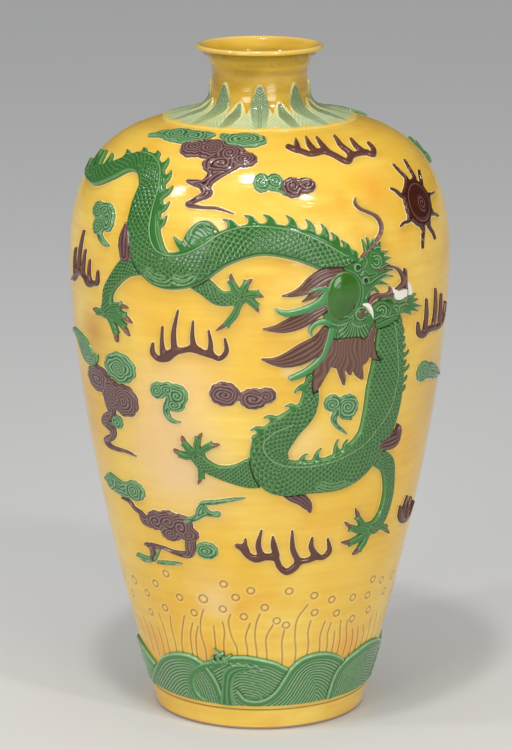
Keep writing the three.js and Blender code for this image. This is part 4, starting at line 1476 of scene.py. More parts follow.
@dataclass
class Dragon:
    """One face's dragon: two stretches of trunk, a head, a mane, four legs and their tufts."""

    wall: WallLine
    level: float = 330.0
    trunk_rise: float = 4.6
    head_rise: float = 5.6
    limb_rise: float = 3.5
    hair_rise: float = 3.1
    claw_width: float = 4.2
    toe_width: float = 7.0

    rear: tuple = (
        (-75, 419, 12), (-66, 419.5, 17), (-58, 426.5, 17), (-50, 436.5, 17), (-43, 435, 20),
        (-37.5, 422, 24), (-37, 402, 28), (-36, 382, 30), (-30, 363, 27), (-21, 364.5, 27),
        (-11, 379.5, 25), (0, 386.5, 23), (11, 382.5, 23), (20, 373, 22), (28, 362, 17))
    rear_fin_tips: tuple = (
        (-67.5, 441), (-60, 447), (-51, 450.5), (-42.5, 449.5), (-35, 444), (-31, 432), (-28.5, 420),
        (-28.4, 408), (-28.6, 398), (-10.5, 402.5), (-4, 405.5), (2, 405.5), (9, 404.5), (15, 401),
        (19.6, 397), (22.5, 390), (25.5, 383.5), (27.6, 377))
    rear_back_line: tuple = (
        (-62, 436), (-57, 440.5), (-50, 443.5), (-41.5, 441.5), (-36, 433), (-33.6, 419), (-33.8, 400),
        (-33.6, 388), (-31.5, 377.5), (-28.5, 373.5), (-25, 373), (-20.5, 376), (-16, 382),
        (-13, 387.5), (-10.5, 391), (-6, 394.5), (0, 395.4), (6, 394), (12, 390.5), (18, 383.5), (25, 373))
    front: tuple = (
        (39, 333, 17), (41, 318, 24), (41.2, 300, 28), (41.2, 275, 36), (40.5, 252, 36), (37.5, 232, 32),
        (29, 215, 31), (16, 210.5, 26), (5, 214, 30), (3, 232, 30), (8, 249, 23), (14, 262, 16),
        (15.3, 274, 13), (15.2, 286, 8))
    front_fin_tips: tuple = (
        (47.3, 313), (48, 306.5), (48.6, 301), (50.6, 295.5), (49.6, 288.5), (51.6, 284), (51, 276),
        (50.6, 269), (28, 236), (24.5, 238), (19, 233), (14.5, 229), (-2.6, 249.5), (1.5, 259), (8, 267),
        (10, 277), (-2, 240))
    front_back_line: tuple = (
        (42, 321), (43.5, 303), (44.5, 291.5), (45, 280), (44.5, 269), (43.5, 258), (41, 249),
        (38.5, 242.5), (36, 236), (33.5, 231.5), (30, 227.5), (24, 222.5), (15, 220), (7, 222),
        (2.5, 229), (1, 238), (4, 246.5), (10, 253))

    @cached_property
    def sheet(self) -> Sheet:
        """The sheet that the dragon is drawn on."""
        return Sheet(self.wall, self.level)

    def stroke(self, drawn: Iterable[Sequence[float]], rise: float, edge: float = 1.1,
               crown: float = 0.0, per_span: int = 8) -> Stroke:
        """A strip through drawn stops."""
        return Stroke(self.sheet.stops(drawn), rise, edge, crown, per_span)

    def lines(self, drawn: Iterable[Iterable[Sequence[float]]]) -> list[Stroke]:
        """Guide lines through drawn places."""
        return [self.sheet.line(line) for line in drawn]

    def lobe(self, turn: float, up: float, wide: float, tall: float, **more: float) -> Lobe:
        """An ellipse at a drawn place, its half-width in degrees and its half-height in millimetres."""
        return Lobe((turn * self.sheet.degree, up), wide * self.sheet.degree, tall, **more)

    def arcs(self, turn: float, up: float, radii: Sequence[float], start: float, end: float) -> list[Stroke]:
        """Thin arcs about one place, from one angle to another in degrees."""
        angles = np.radians(np.linspace(start, end, 9))
        return [arc((turn * self.sheet.degree, up), radius, angles, 3) for radius in radii]

    def laid(self, name: str, glaze: Glaze, shapes: list[Shape], **more: object) -> Motif:
        """A small piece that lies on another and replaces no node of its own."""
        return Motif(name, glaze, self.sheet, shapes, nodes=(), **more)

    def spikes(self, drawn: Iterable[Sequence[float]], rise: float, width: float) -> list[Stroke]:
        """Short pointed tufts, each from its root's turn and height to its tip's.

        Args:
            drawn: for each tuft its root's turn and height and its tip's.
            rise: their height off the wall.
            width: their width at the root.

        Returns:
            A tapering strip for each.
        """
        made = []
        for turn, up, to, height in drawn:
            middle = (0.5 * (turn + to), 0.5 * (up + height) + 0.4, 0.62 * width)
            made.append(self.stroke(((turn, up, width), middle, (to, height, 1.0)), rise, 0.8))
        return made

    def fins(self, trunk: Stroke, tips: Iterable[tuple[float, float]], rise: float,
             root_width: float = 11.5, share: float = 0.8) -> list[Stroke]:
        """Hooked fins on the trunk's edge, broad at the root, whose tips bend back the way the line came.

        Args:
            trunk: the strip that they stand on.
            tips: turn and height of each tip.
            rise: their height off the wall.
            root_width: width at the root.
            share: how much of the way to its tip each one reaches.

        Returns:
            A tapering strip for each fin.
        """
        made = []
        for turn, up in tips:
            tip = np.array([turn * self.sheet.degree, up])
            along, across, half = (float(v[0]) for v in trunk.locate(tip[:1], tip[1:]))
            near = [np.array([np.interp(along + step, trunk.tape, trunk.line[:, axis]) for axis in (0, 1)])
                    for step in (-1.0, 0.0, 1.0)]
            forward = (near[2] - near[0]) / np.linalg.norm(near[2] - near[0])
            outward = np.array([-forward[1], forward[0]]) * (1.0 if across > 0 else -1.0)
            tall = share * (abs(across) - half)
            stops = [(0.26 * root_width, half - 0.34 * root_width, root_width),
                     (0.24 * root_width, half + 0.34 * tall, 0.52 * root_width),
                     (0.06 * root_width, half + 0.78 * tall, 0.24 * root_width),
                     (-0.20 * root_width, half + tall, 0.9)]
            made.append(Stroke(np.array([[*(near[1] + forward * ahead + outward * out), width]
                                         for ahead, out, width in stops]), rise, 0.9))
        return made

    def mane(self) -> Motif:
        """Combed locks that lie back from the nape, and the beard under the chin.

        Returns:
            The mane as one motif.
        """
        rise = self.hair_rise
        locks = [self.stroke(stops, rise, 1.0, 0.6) for stops in (
            ((23, 362, 8), (18.6, 359.5, 12), (15, 354.5, 11.5), (11.8, 349.8, 7), (9, 347.6, 4),
             (6.4, 346.8, 1.2)),
            ((19, 353, 9), (16, 347.8, 6.5), (14, 344.6, 3.6), (12.2, 342.2, 1.2)),
            ((19, 337.5, 6), (15.5, 333.5, 10), (11.5, 328.5, 11.5), (7, 324.5, 9), (4, 323.2, 5),
             (1, 323.2, 1.4)),
            ((19, 321, 6), (17, 311.5, 13), (12.5, 304.5, 15.5), (7.5, 300, 11), (4, 299.4, 6),
             (0.6, 301.2, 1.4)),
        )]
        beard = [self.stroke(stops, rise, 1.0) for stops in (
            ((21.4, 310, 10), (19.2, 298, 13), (17.4, 286.5, 10), (16.6, 280, 7), (16.2, 276.5, 3)),
            ((21, 306, 12), (25, 306.5, 16), (30, 305, 18), (33.4, 306.5, 10)),
            ((23, 299, 14), (27.5, 298, 17), (31, 299, 14)),
            ((24, 298, 8), (24.6, 290, 5.5), (25.3, 284.5, 4.5), (25.7, 279.6, 2)),
            ((29.5, 298, 10), (30.2, 290, 8), (31, 285.4, 6), (31.7, 282.6, 3)),
            ((27, 296, 8), (27.4, 289.5, 5), (27.6, 286.6, 2)),
            ((33, 308, 9), (35, 299.5, 6), (36.4, 296, 3), (38, 294.6, 1.2)),
            ((33, 306, 9), (34.3, 316, 6), (34.7, 323.5, 2)),
        )]
        focus = (27.5 * self.sheet.degree, 358.0)
        return Motif("dragon_mane", HAIR_BROWN, self.sheet, [*locks, *beard],
                     [Striae(locks, 4.0, 0.45), Fan(focus, 3.1, beard, 0.3, 0.2)], thin_edge=0.35)

    def horns(self) -> list[Motif]:
        """A forked horn, a hook and a long lower horn of green, laid over the locks.

        Returns:
            One motif for each horn.
        """
        rise = self.hair_rise + 0.6
        drawn = {
            "upper_horn": (
                ((20, 347, 10), (17.6, 341.5, 7), (14.5, 337.8, 6), (10.5, 335, 5.4), (7.6, 334.2, 5),
                 (5.6, 335.6, 3.8), (4.6, 337.6, 2)),
                ((20, 349.6, 6), (17.2, 351.2, 4.6), (14.8, 350.2, 3), (13.2, 348.4, 1.2))),
            "horn_hook": (((20, 326.6, 6), (17.6, 327, 4.8), (15.6, 325, 4.2), (14.6, 321.5, 3.6),
                           (15.2, 317.5, 1.8)),),
            "lower_horn": (((21, 321, 6), (19.7, 310, 5.4), (18.2, 301.5, 5.2), (15.2, 294, 5.2),
                            (12, 289.2, 5.4), (9.2, 286.8, 4.4)),),
        }
        return [self.laid(name, HORN_GREEN, [self.stroke(stops, rise, 1.6, 0.8) for stops in strips],
                          thin_edge=1.0, step=0.4) for name, strips in drawn.items()]

    def face(self) -> list[Shape]:
        """The crown round the dome, brow, cheek and snout, with ragged tufts on the snout and cheek.

        Returns:
            The shapes that the head joins.
        """
        rise = self.limb_rise
        strips = [self.stroke(stops, rise, 1.2, 0.6) for stops in (
            ((21, 326, 9), (19.4, 334, 6), (19.2, 345, 6), (20.6, 355, 7), (23.5, 361, 8), (27.5, 362, 9)),
            ((25, 356, 12), (29, 361, 14), (32.5, 366, 14), (35, 371, 11), (36, 375.5, 5)),
            ((29.4, 338, 8), (31.8, 347, 10), (33, 354, 14), (35, 361, 14), (36.6, 367, 10)),
            ((23, 331, 12), (27, 329, 12), (30, 333, 8)),
            ((27.5, 362, 12), (29.6, 352, 13), (30, 342, 12), (29.8, 333, 9)),
        )]
        tufts = self.spikes((
            (32.4, 374, 31.2, 383), (34, 375, 32.8, 384), (35.4, 375, 34.8, 382.5), (36.4, 374, 37.4, 379.5),
            (37.2, 371, 40.2, 372.5), (38, 367, 41.2, 367.6), (37.8, 363.5, 40.6, 362.8),
            (37, 358, 41.8, 358.8), (36.6, 355, 42, 354), (35.6, 351.6, 40, 348.6), (34, 348, 36.4, 344.4)),
            self.limb_rise - 0.6, 4.4)
        brow = [self.lobe(35, 366.8, 2.7, 7.2, rise=rise + 0.5, edge=1.2, dome=0.8),
                self.lobe(28.6, 364, 1.8, 4.6, rise=rise + 0.6, edge=1.0, dome=0.9),
                self.lobe(31.2, 354.4, 1.9, 4.4, rise=rise + 0.6, edge=1.0, dome=0.9)]
        strip = [self.stroke(((21, 324, 9), (20.8, 314, 7), (20.6, 307, 4), (20.5, 303.5, 1.4)), rise, 1.0),
                 self.stroke(((22, 318, 7), (22, 308, 4), (22.2, 300.6, 1.2)), rise, 1.0)]
        return [*strips, *tufts, *brow, *strip]

    def jaw(self) -> list[Shape]:
        """The lower jaw with its curled lip, and the ragged tuft at its tip.

        Returns:
            The shapes that the head joins.
        """
        strips = [self.stroke(stops, self.limb_rise, 1.1, 0.5) for stops in (
            ((33.4, 325, 10), (36.6, 330.5, 15), (40, 330.5, 14), (43.4, 330, 11), (46.5, 332.4, 8)),
            ((36, 322, 9), (39, 323.5, 10), (42.6, 325, 7)),
        )]
        return [*strips, *self.spikes(((46, 333.6, 51.6, 338), (46.6, 332.6, 53, 333.6),
                                       (47, 331, 55.2, 327.4), (46.6, 329.6, 53.4, 324.4),
                                       (46, 328.6, 49.6, 323.6)), self.limb_rise, 6.0)]

    def head(self) -> list[Motif]:
        """The skull's smooth dome, the muzzle with its curls, jaws, chin, tongue, teeth and eyes.

        Returns:
            The head first, then the small pieces laid on it.
        """
        dome = self.lobe(23.7, 345, 4.95, 17.8, rise=self.head_rise, edge=1.4, dome=3.2, lean=-15, egg=0.16)
        chin = self.lobe(28, 321.5, 5.7, 12.6, rise=self.limb_rise, edge=1.2, dome=0.6)
        dark = self.lines([
            [(24.4, 362.8), (27.6, 359), (29.6, 352.5), (29.8, 344), (28.8, 336), (26.4, 330)],
            [(20.6, 361), (18.6, 353), (17.9, 343), (18.4, 333)],
            [(33, 337), (32, 343.5), (34, 349), (36.4, 353.6)], [(32.6, 341), (32.8, 346), (35, 350)],
            [(22, 313), (22.6, 320), (24, 325), (27, 328)], [(30.2, 372), (31.4, 368), (30.4, 363.6)],
            [(31, 360), (32.4, 357.6), (34.6, 358)], [(33.4, 372), (35, 371.6), (36.4, 369)],
            [(35.4, 322), (38, 324), (41, 325.4)], [(38.8, 334), (40, 331), (39.6, 327.4)],
        ]) + self.arcs(37, 330.5, (3.0, 5.4), -80, 150) + self.arcs(42.4, 329.6, (2.6, 4.6), -90, 120)
        # Pale ridges on the face and curls, where the glaze thins; their paleness is partly a painted
        # highlight
        pale = self.lines([
            [(33, 335.5), (34.5, 338), (36.5, 339.6), (39, 338.2), (42, 335.8), (44.5, 335), (46.4, 336.2)],
            [(22.6, 333), (25, 333.4), (27.4, 335.8)], [(38.4, 371.6), (37, 375.6), (34, 377)],
            [(23, 329.6), (25.6, 330.4)], [(20.6, 326), (23, 324), (25.5, 325.4)],
            [(31.2, 341.5), (33, 347.5), (35.4, 350.5), (37, 354), (40, 355.4)],
            [(32.4, 352), (34.4, 354.6), (37.4, 357), (40.6, 357.6)], [(36, 361.4), (38, 363), (40, 363)],
            [(32.8, 376), (32.4, 380)], [(34.4, 377), (34.2, 381)], [(29.6, 358.4), (30.6, 361.2)],
            [(34.6, 326), (37, 327.6), (39.6, 325.6), (41.6, 326.4)], [(44, 331.6), (46, 333), (47.6, 332)],
        ])
        pale += self.arcs(28.6, 364, (2.5,), 30, 330) + self.arcs(31.2, 354.4, (2.5,), -60, 250)
        pale += self.arcs(34.9, 366.6, (4.4, 2.2), -160, 120) + self.arcs(30, 331, (4.4,), 60, 320)
        pale += self.arcs(29.8, 330, (8.4,), 215, 300)
        pale += self.arcs(37, 330.5, (4.2, 1.6), -70, 165) + self.arcs(42.4, 329.6, (3.6, 1.2), -80, 140)
        focus = (29.2 * self.sheet.degree, 333.0)
        ribs = self.lobe(27.8, 318.4, 5.2, 8.2)
        main = Motif("dragon_head", GREEN, self.sheet, [*self.face(), chin, *self.jaw()],
                     [Incised(dark, 0.4, 0.6, 0.4), Raised(pale, 0.38), Fan(focus, 8.5, [ribs], 0.5, 0.7)],
                     thin_edge=0.6, fillet=0.9, step=0.42)
        return [main, *self.features(dome)]

    def features(self, dome: Lobe) -> list[Motif]:
        """Small pieces laid on the head: dome, cheek disc, fang, teeth, tongue and eyes.

        Args:
            dome: the skull's dome.

        Returns:
            One motif for each small piece.
        """
        disc = self.lobe(30, 331, 1.3, 3.2, rise=4.6, edge=1.2, dome=0.4)
        fang = self.stroke(((30.6, 337.4, 3), (32.2, 335.8, 4.8), (33.3, 331.4, 3.6), (34.1, 325.2, 1.0)),
                           4.3, 1.2)
        teeth = [
            self.stroke(((41.2, 346, 1.6), (42, 342.6, 5.6), (43.6, 340, 8.4), (46, 340.4, 7.4),
                         (48.2, 341, 5)), 3.6, 1.2),
            self.stroke(((46.9, 349.4, 1.4), (47.8, 345, 5), (48.6, 340, 5)), 3.5, 1.0)]
        tongue = [
            self.stroke(((32.4, 335.6, 2.2), (33.7, 340.2, 4), (36, 341.9, 3.8), (38.5, 341.2, 3.4),
                         (41, 341.4, 4.2)), 3.7, 1.0),
            self.stroke(((40.3, 341.5, 3), (40.7, 344, 2.2), (40.5, 347, 1)), 3.5, 0.8)]
        eyes = [self.laid(name, BLACK, [self.lobe(turn, up, 0.72, 1.9, rise=5.2, edge=1.4, lean=lean)],
                          step=0.25, thin_edge=0.0, fringe=0.0)
                for name, turn, up, lean in (("upper_eye", 28.6, 364.2, 40), ("lower_eye", 31.2, 354.6, 20))]
        return [self.laid("dragon_skull", DOME_GREEN, [dome], thin_edge=0.8, lift=0.3, step=0.4, fringe=0.0),
                self.laid("cheek_disc", AUBERGINE, [disc], step=0.3, fringe=0.0),
                self.laid("dragon_fang", WHITE, [fang], step=0.3, lift=0.2, fringe=0.0),
                self.laid("dragon_teeth", WHITE, teeth, step=0.35),
                self.laid("dragon_tongue", AUBERGINE, tongue, step=0.35), *eyes]

    def feet(self) -> dict[str, tuple[tuple, tuple, tuple]]:
        """For each leg its limb, its toes' tips, and the aubergine tuft behind its elbow.

        Returns:
            Those three for each leg's name, in degrees and millimetres of tape.
        """
        return {
            "hind_leg_outer": (
                ((-37, 366, 20), (-42, 360, 15), (-46.5, 350, 11), (-49.6, 340, 10), (-50.2, 332, 10),
                 (-51, 325, 11)),
                ((-57.6, 325), (-41.6, 331), (-40.3, 320.5), (-41.5, 310.5), (-46.8, 304)),
                ((-41.8, 369, 11), (-42.2, 377, 13.5), (-42.4, 385, 10), (-42.6, 391, 3))),
            "hind_leg_inner": (
                ((-20, 359, 14), (-15.5, 352, 13), (-11.5, 345, 11.5), (-7, 345.5, 10), (-5, 346.5, 9)),
                ((-8.3, 362.5), (-2.2, 359), (1, 346.5), (-0.4, 335.5), (-12.7, 321.5)),
                ()),
            "fore_leg_left": (
                ((1, 217, 26), (-3.5, 214.5, 23), (-8.5, 213.5, 15), (-14, 215.5, 10), (-18.5, 221, 11),
                 (-20, 226, 12)),
                ((-25, 240.5), (-18.2, 244), (-12.6, 236), (-28.2, 229.5), (-20.4, 204)),
                ()),
            "fore_leg_right": (
                ((42, 218, 15), (46.2, 211, 15), (48.3, 199, 12.5), (49.2, 185, 12), (48, 171, 12),
                 (45, 163, 12), (42.5, 162, 10)),
                ((35, 180.5), (31, 171), (30.6, 154.5), (36.4, 143), (54.3, 152.5)),
                ((41.5, 229, 9), (44.5, 229.5, 13), (47.6, 231, 13), (49, 236, 6), (49, 241, 1.6))),
        }

    def toe(self, heel: Sequence[float], tip: Sequence[float]) -> tuple[list[Stroke], Stroke]:
        """A toe with a knuckle two thirds along it and a spur beside that, and the curved claw beyond.

        Args:
            heel: turn and height where the toe starts.
            tip: turn and height of the claw's tip.

        Returns:
            The toe's strips, then the claw's.
        """
        start = np.array([heel[0] * self.sheet.degree, heel[1]])
        end = np.array([tip[0] * self.sheet.degree, tip[1]])
        reach = end - start
        # Stops lie at shares of the reach from heel to tip, bowed out sideways by shares of a tenth of it
        side = np.array([-reach[1], reach[0]]) * 0.09
        knuckle = start + 0.46 * reach + 1.3 * side
        joint = start + 0.72 * reach + side
        bend = start + 0.88 * reach + 0.5 * side
        toe = Stroke(np.array([[*start, self.toe_width],
                               [*(start + 0.26 * reach + 0.8 * side), 0.72 * self.toe_width],
                               [*knuckle, self.toe_width * 0.84], [*joint, self.claw_width * 1.05]]),
                     self.limb_rise, 1.4, 0.8)
        outward = side / np.linalg.norm(side)
        spur = Stroke(np.array([[*knuckle, 3.6], [*(joint + 2.2 * outward), 2.4],
                                [*(joint + 3.4 * outward + 0.05 * reach), 1.0]]), self.limb_rise - 0.5, 0.9)
        claw = Stroke(np.array([[*joint, self.claw_width * 0.8], [*bend, self.claw_width * 0.75],
                                [*end, 0.9]]), self.limb_rise - 0.4, 1.2, 0.4)
        return [toe, spur], claw

    def legs(self, over: list[Motif]) -> list[Motif]:
        """Four legs, their claws and tufts.

        Args:
            over: the motifs that lie over it.

        Returns:
            Each leg, its claws and its tuft.
        """
        made = []
        for name, (limb, tips, tuft) in self.feet().items():
            shin = self.stroke(limb, self.limb_rise + 0.4, 1.3, 0.9)
            toes = [self.toe(limb[-1], tip) for tip in tips]
            spines = [Stroke(toe[0].stops * [1, 1, 0] + [0, 0, LINE]) for toe, _ in toes]
            leg = Motif(name, GREEN, self.sheet, [shin, *(strip for toe, _ in toes for strip in toe)],
                        [Scales(shin, 3.0, -1.0), Incised(spines, 0.35, 0.25, 0.35)],
                        beneath=over, fillet=1.6, step=0.47)
            claws = self.laid(f"{name}_claws", HAIR_BROWN, [claw for _, claw in toes],
                              thin_edge=0.45, step=0.4, lift=0.25)
            made += [leg, claws]
            if tuft:
                lock = self.stroke(tuft, self.hair_rise + 1.2, 1.2, 0.8)
                made.append(self.laid(f"{name}_tuft", AUBERGINE, [lock], cuts=[Striae([lock], 4.0, 0.5)],
                                      thin_edge=0.4, lift=0.4, step=0.45))
        return made

    def front_trunk(self, over: list[Motif]) -> Motif:
        """The neck and belly, with small hooked fins and a pale line down the back.

        Args:
            over: the motifs that lie over it.

        Returns:
            The trunk as one motif.
        """
        neck = self.stroke(self.front, self.trunk_rise, 2.2, 1.0, per_span=10)
        line = self.lines([self.front_back_line])
        small, large = self.front_fin_tips[:8], self.front_fin_tips[8:]
        folds = self.lines([[(18.5, 203), (22, 199.6), (26, 199.6), (29.6, 202.4)],
                            [(29.6, 202.4), (32.6, 201.6), (35.6, 204)],
                            [(35.6, 204), (38, 205.6), (39.6, 209)], [(20, 206.4), (24, 203.6), (28, 205)]])
        return Motif("dragon_front_trunk", GREEN, self.sheet,
                     [neck, *self.fins(neck, small, 2.4, 6.5, 1.0), *self.fins(neck, large, 2.4, 8.5, 0.9)],
                     [Scales(neck, headward=-1.0), Raised(line, 0.38), Incised(folds, 0.55, 0.7, 0.8),
                      Welts(neck, 1.0, (1.9, 3.8), 0.36, 0.62, 0.4)],
                     beneath=over, thin_edge=0.7, fillet=2.0, step=0.53)

    def crest(self) -> tuple[list[Shape], list[Stroke]]:
        """The arched fin in the bend of the back with its ribs, and the hooked tooth beside it.

        Returns:
            The crest's shapes and the lines of its ribs.
        """
        arch = self.stroke(((-22, 381, 6), (-20.8, 388, 6), (-19.4, 393, 5), (-17.6, 396, 5),
                            (-15.6, 396.4, 5), (-13.9, 394.6, 3.6), (-12.6, 392.8, 1.4)), 3.4, 1.0)
        web = self.stroke(((-21, 382, 8), (-18.8, 389, 10), (-15.6, 391.5, 9)), 2.6, 1.0)
        tooth = self.stroke(((-22, 376.5, 6), (-24, 381.4, 4.6), (-25.8, 386, 1.2)), 3.2, 1.0)
        ribs = self.lines([
            [(-20.4, 386), (-20, 391.5), (-18.6, 395.4), (-16.6, 397), (-14.8, 395.4)],
            [(-20, 388), (-18.2, 386.6), (-16.4, 383.5)], [(-18.4, 393), (-16.8, 391.5), (-15.4, 388)],
            [(-22.6, 385.6), (-21.6, 382.5), (-20.2, 379.6)], [(-16.4, 395), (-14.6, 392.5), (-12.8, 391.6)]])
        return [arch, web, tooth], ribs

    def rear_trunk(self, over: list[Motif]) -> Motif:
        """The tail and loins, with fins along the back and a plain welt along the belly.

        Args:
            over: the motifs that lie over it.

        Returns:
            The trunk as one motif.
        """
        rear = self.stroke(self.rear, self.trunk_rise, 2.2, 1.0, per_span=10)
        line = self.lines([self.rear_back_line])
        crest, ribs = self.crest()
        folds = self.lines([[(-34, 358), (-32, 354.6), (-29, 353), (-26.6, 353.6), (-25.4, 356)],
                            [(-25.4, 356), (-23, 354.2), (-20.6, 355.4), (-18.6, 359)],
                            [(-33, 361.6), (-30.6, 358), (-28, 357.4)],
                            [(-24.4, 359), (-22, 358), (-20, 360)]])
        tail = [self.stroke(stops, self.hair_rise, 1.0, 0.6) for stops in (
            ((-71, 420, 13), (-75.6, 426, 12), (-80, 435, 3)),
            ((-71, 423, 9), (-73, 430, 8), (-74.6, 437, 2.4)),
            ((-74, 417, 9), (-80, 419, 8), (-85, 425, 3)))]
        return Motif("dragon_rear_trunk", GREEN, self.sheet,
                     [rear, *self.fins(rear, self.rear_fin_tips, 2.6), *crest, *tail],
                     [Scales(rear, plain_right=2.6, limit=line[0]), Raised(line, 0.38), Raised(ribs, 0.35),
                      Incised(folds, 0.55, 0.7, 0.8), Welts(rear, -1.0, (2.2,), 0.36, 1.0, 0.4),
                      Striae(tail, 3.0, 0.4)],
                     beneath=over, thin_edge=0.7, fillet=2.0, step=0.53)

    def threads(self) -> list[Motif]:
        """The long whisker that is its own piece, and the short one and its strands laid with the head.

        Returns:
            Both whiskers and the tuft below the belly.
        """
        whisker = Motif("dragon_whisker", AUBERGINE, self.sheet, [self.stroke(
            ((30.8, 371, 2.4), (32.4, 374.5, 2.5), (35.5, 380, 2.3), (37.8, 385.5, 2.2), (38.5, 391, 2.1),
             (37.3, 397.5, 2.1), (34.2, 401.8, 2.0), (31.6, 405, 1.8), (30.5, 409, 1.6), (31.2, 412.5, 1)),
            3.9, 1.0)], thin_edge=0.4, step=0.35)
        feeler = self.laid("short_whisker", AUBERGINE, [
            self.stroke(((34, 360.4, 2.2), (36, 360, 2.6), (39, 361.6, 2.1), (42.2, 360.6, 2.1),
                         (44.6, 356.5, 2.2), (45.8, 351.5, 2.4), (46, 348, 3.0), (44.8, 345.6, 3.0),
                         (42.8, 343.6, 1.8)), 3.8, 1.0),
            self.stroke(((46.6, 358, 1.0), (46.5, 351.5, 2.0), (46.6, 346, 2.0), (47, 341, 1.7),
                         (46.5, 335.5, 1.8), (45.5, 330.5, 1.6), (44.6, 326.6, 1.0)), 4.2, 0.8)],
            thin_edge=0.3, step=0.35)
        strip = self.stroke(((6.5, 205, 8), (10, 198.5, 11), (14, 193, 10), (16.4, 187.5, 8), (17, 184, 4)),
                            self.hair_rise, 1.1, 0.7)
        tuft = Motif("belly_tuft", AUBERGINE, self.sheet, [strip], [Striae([strip], 4.0, 0.5)],
                     thin_edge=0.5, step=0.45)
        return [whisker, feeler, tuft]

    def motifs(self) -> list[Motif]:
        """Every raised piece of the dragon, those that lie over others first.

        Returns:
            Every motif, in the order in which they are made.
        """
        mane = self.mane()
        head, *features = self.head()
        head.beneath = [mane]
        front = self.front_trunk([head, mane])
        behind = self.rear_trunk([head, mane, front])
        whisker, feeler, tuft = self.threads()
        tuft.beneath = [front]
        return [mane, head, *features, *self.horns(), front, behind, *self.legs([front, behind]),
                whisker, feeler, tuft]


# Sun, flames and clouds


@dataclass
class Sun:
    """A round boss with an incised ring and spiral, and nine bent rays."""

    wall: WallLine
    turn: float = 58.0
    up: float = 401.5
    radius: float = 17.6
    ring: float = 13.4
    rays: tuple = ((54, 433, -4), (62.5, 434, -5), (67.5, 423, -3), (71.5, 404, 3), (69.2, 387, -3),
                   (64.2, 372.5, -4), (56, 369, 3), (46.6, 388, 5), (46.6, 416, 4))

    def motif(self) -> Motif:
        """The sun as one piece.

        Returns:
            The sun's motif.
        """
        sheet = Sheet(self.wall, self.up)
        centre = np.array([self.turn * sheet.degree, self.up])
        rays = []
        for turn, up, bow in self.rays:
            tip = np.array([turn * sheet.degree, up])
            out = (tip - centre) / np.linalg.norm(tip - centre)
            side = np.array([-out[1], out[0]])
            root = centre + out * (self.radius - 2)
            near = centre + out * (self.radius + 2.6) + side * bow * 0.45
            far = 0.5 * (near + tip) - side * bow * 0.18
            rays.append(Stroke(np.array([[*root, 7], [*near, 3.2], [*far, 2.5], [*tip, 1.5]]), 2.2, 1.2, 0.5))
        boss = Lobe(tuple(centre), self.radius, self.radius, rise=2.6, edge=1.4, dome=0.6, scallops=14,
                    scallop=0.03)
        turns = np.linspace(0.0, 3.6 * math.pi, 50)
        spiral = arc(centre + [2.0, -1.0], 1.0 + 4.8 * turns / turns[-1], turns, 1)
        lines = [spiral, arc(centre, self.ring, np.linspace(0.0, 2 * math.pi, 48), 1)]
        return Motif("sun", SUN_BROWN, sheet, [boss, *rays], [Raised(lines, 0.42)],
                     thin_edge=0.25, step=0.45)


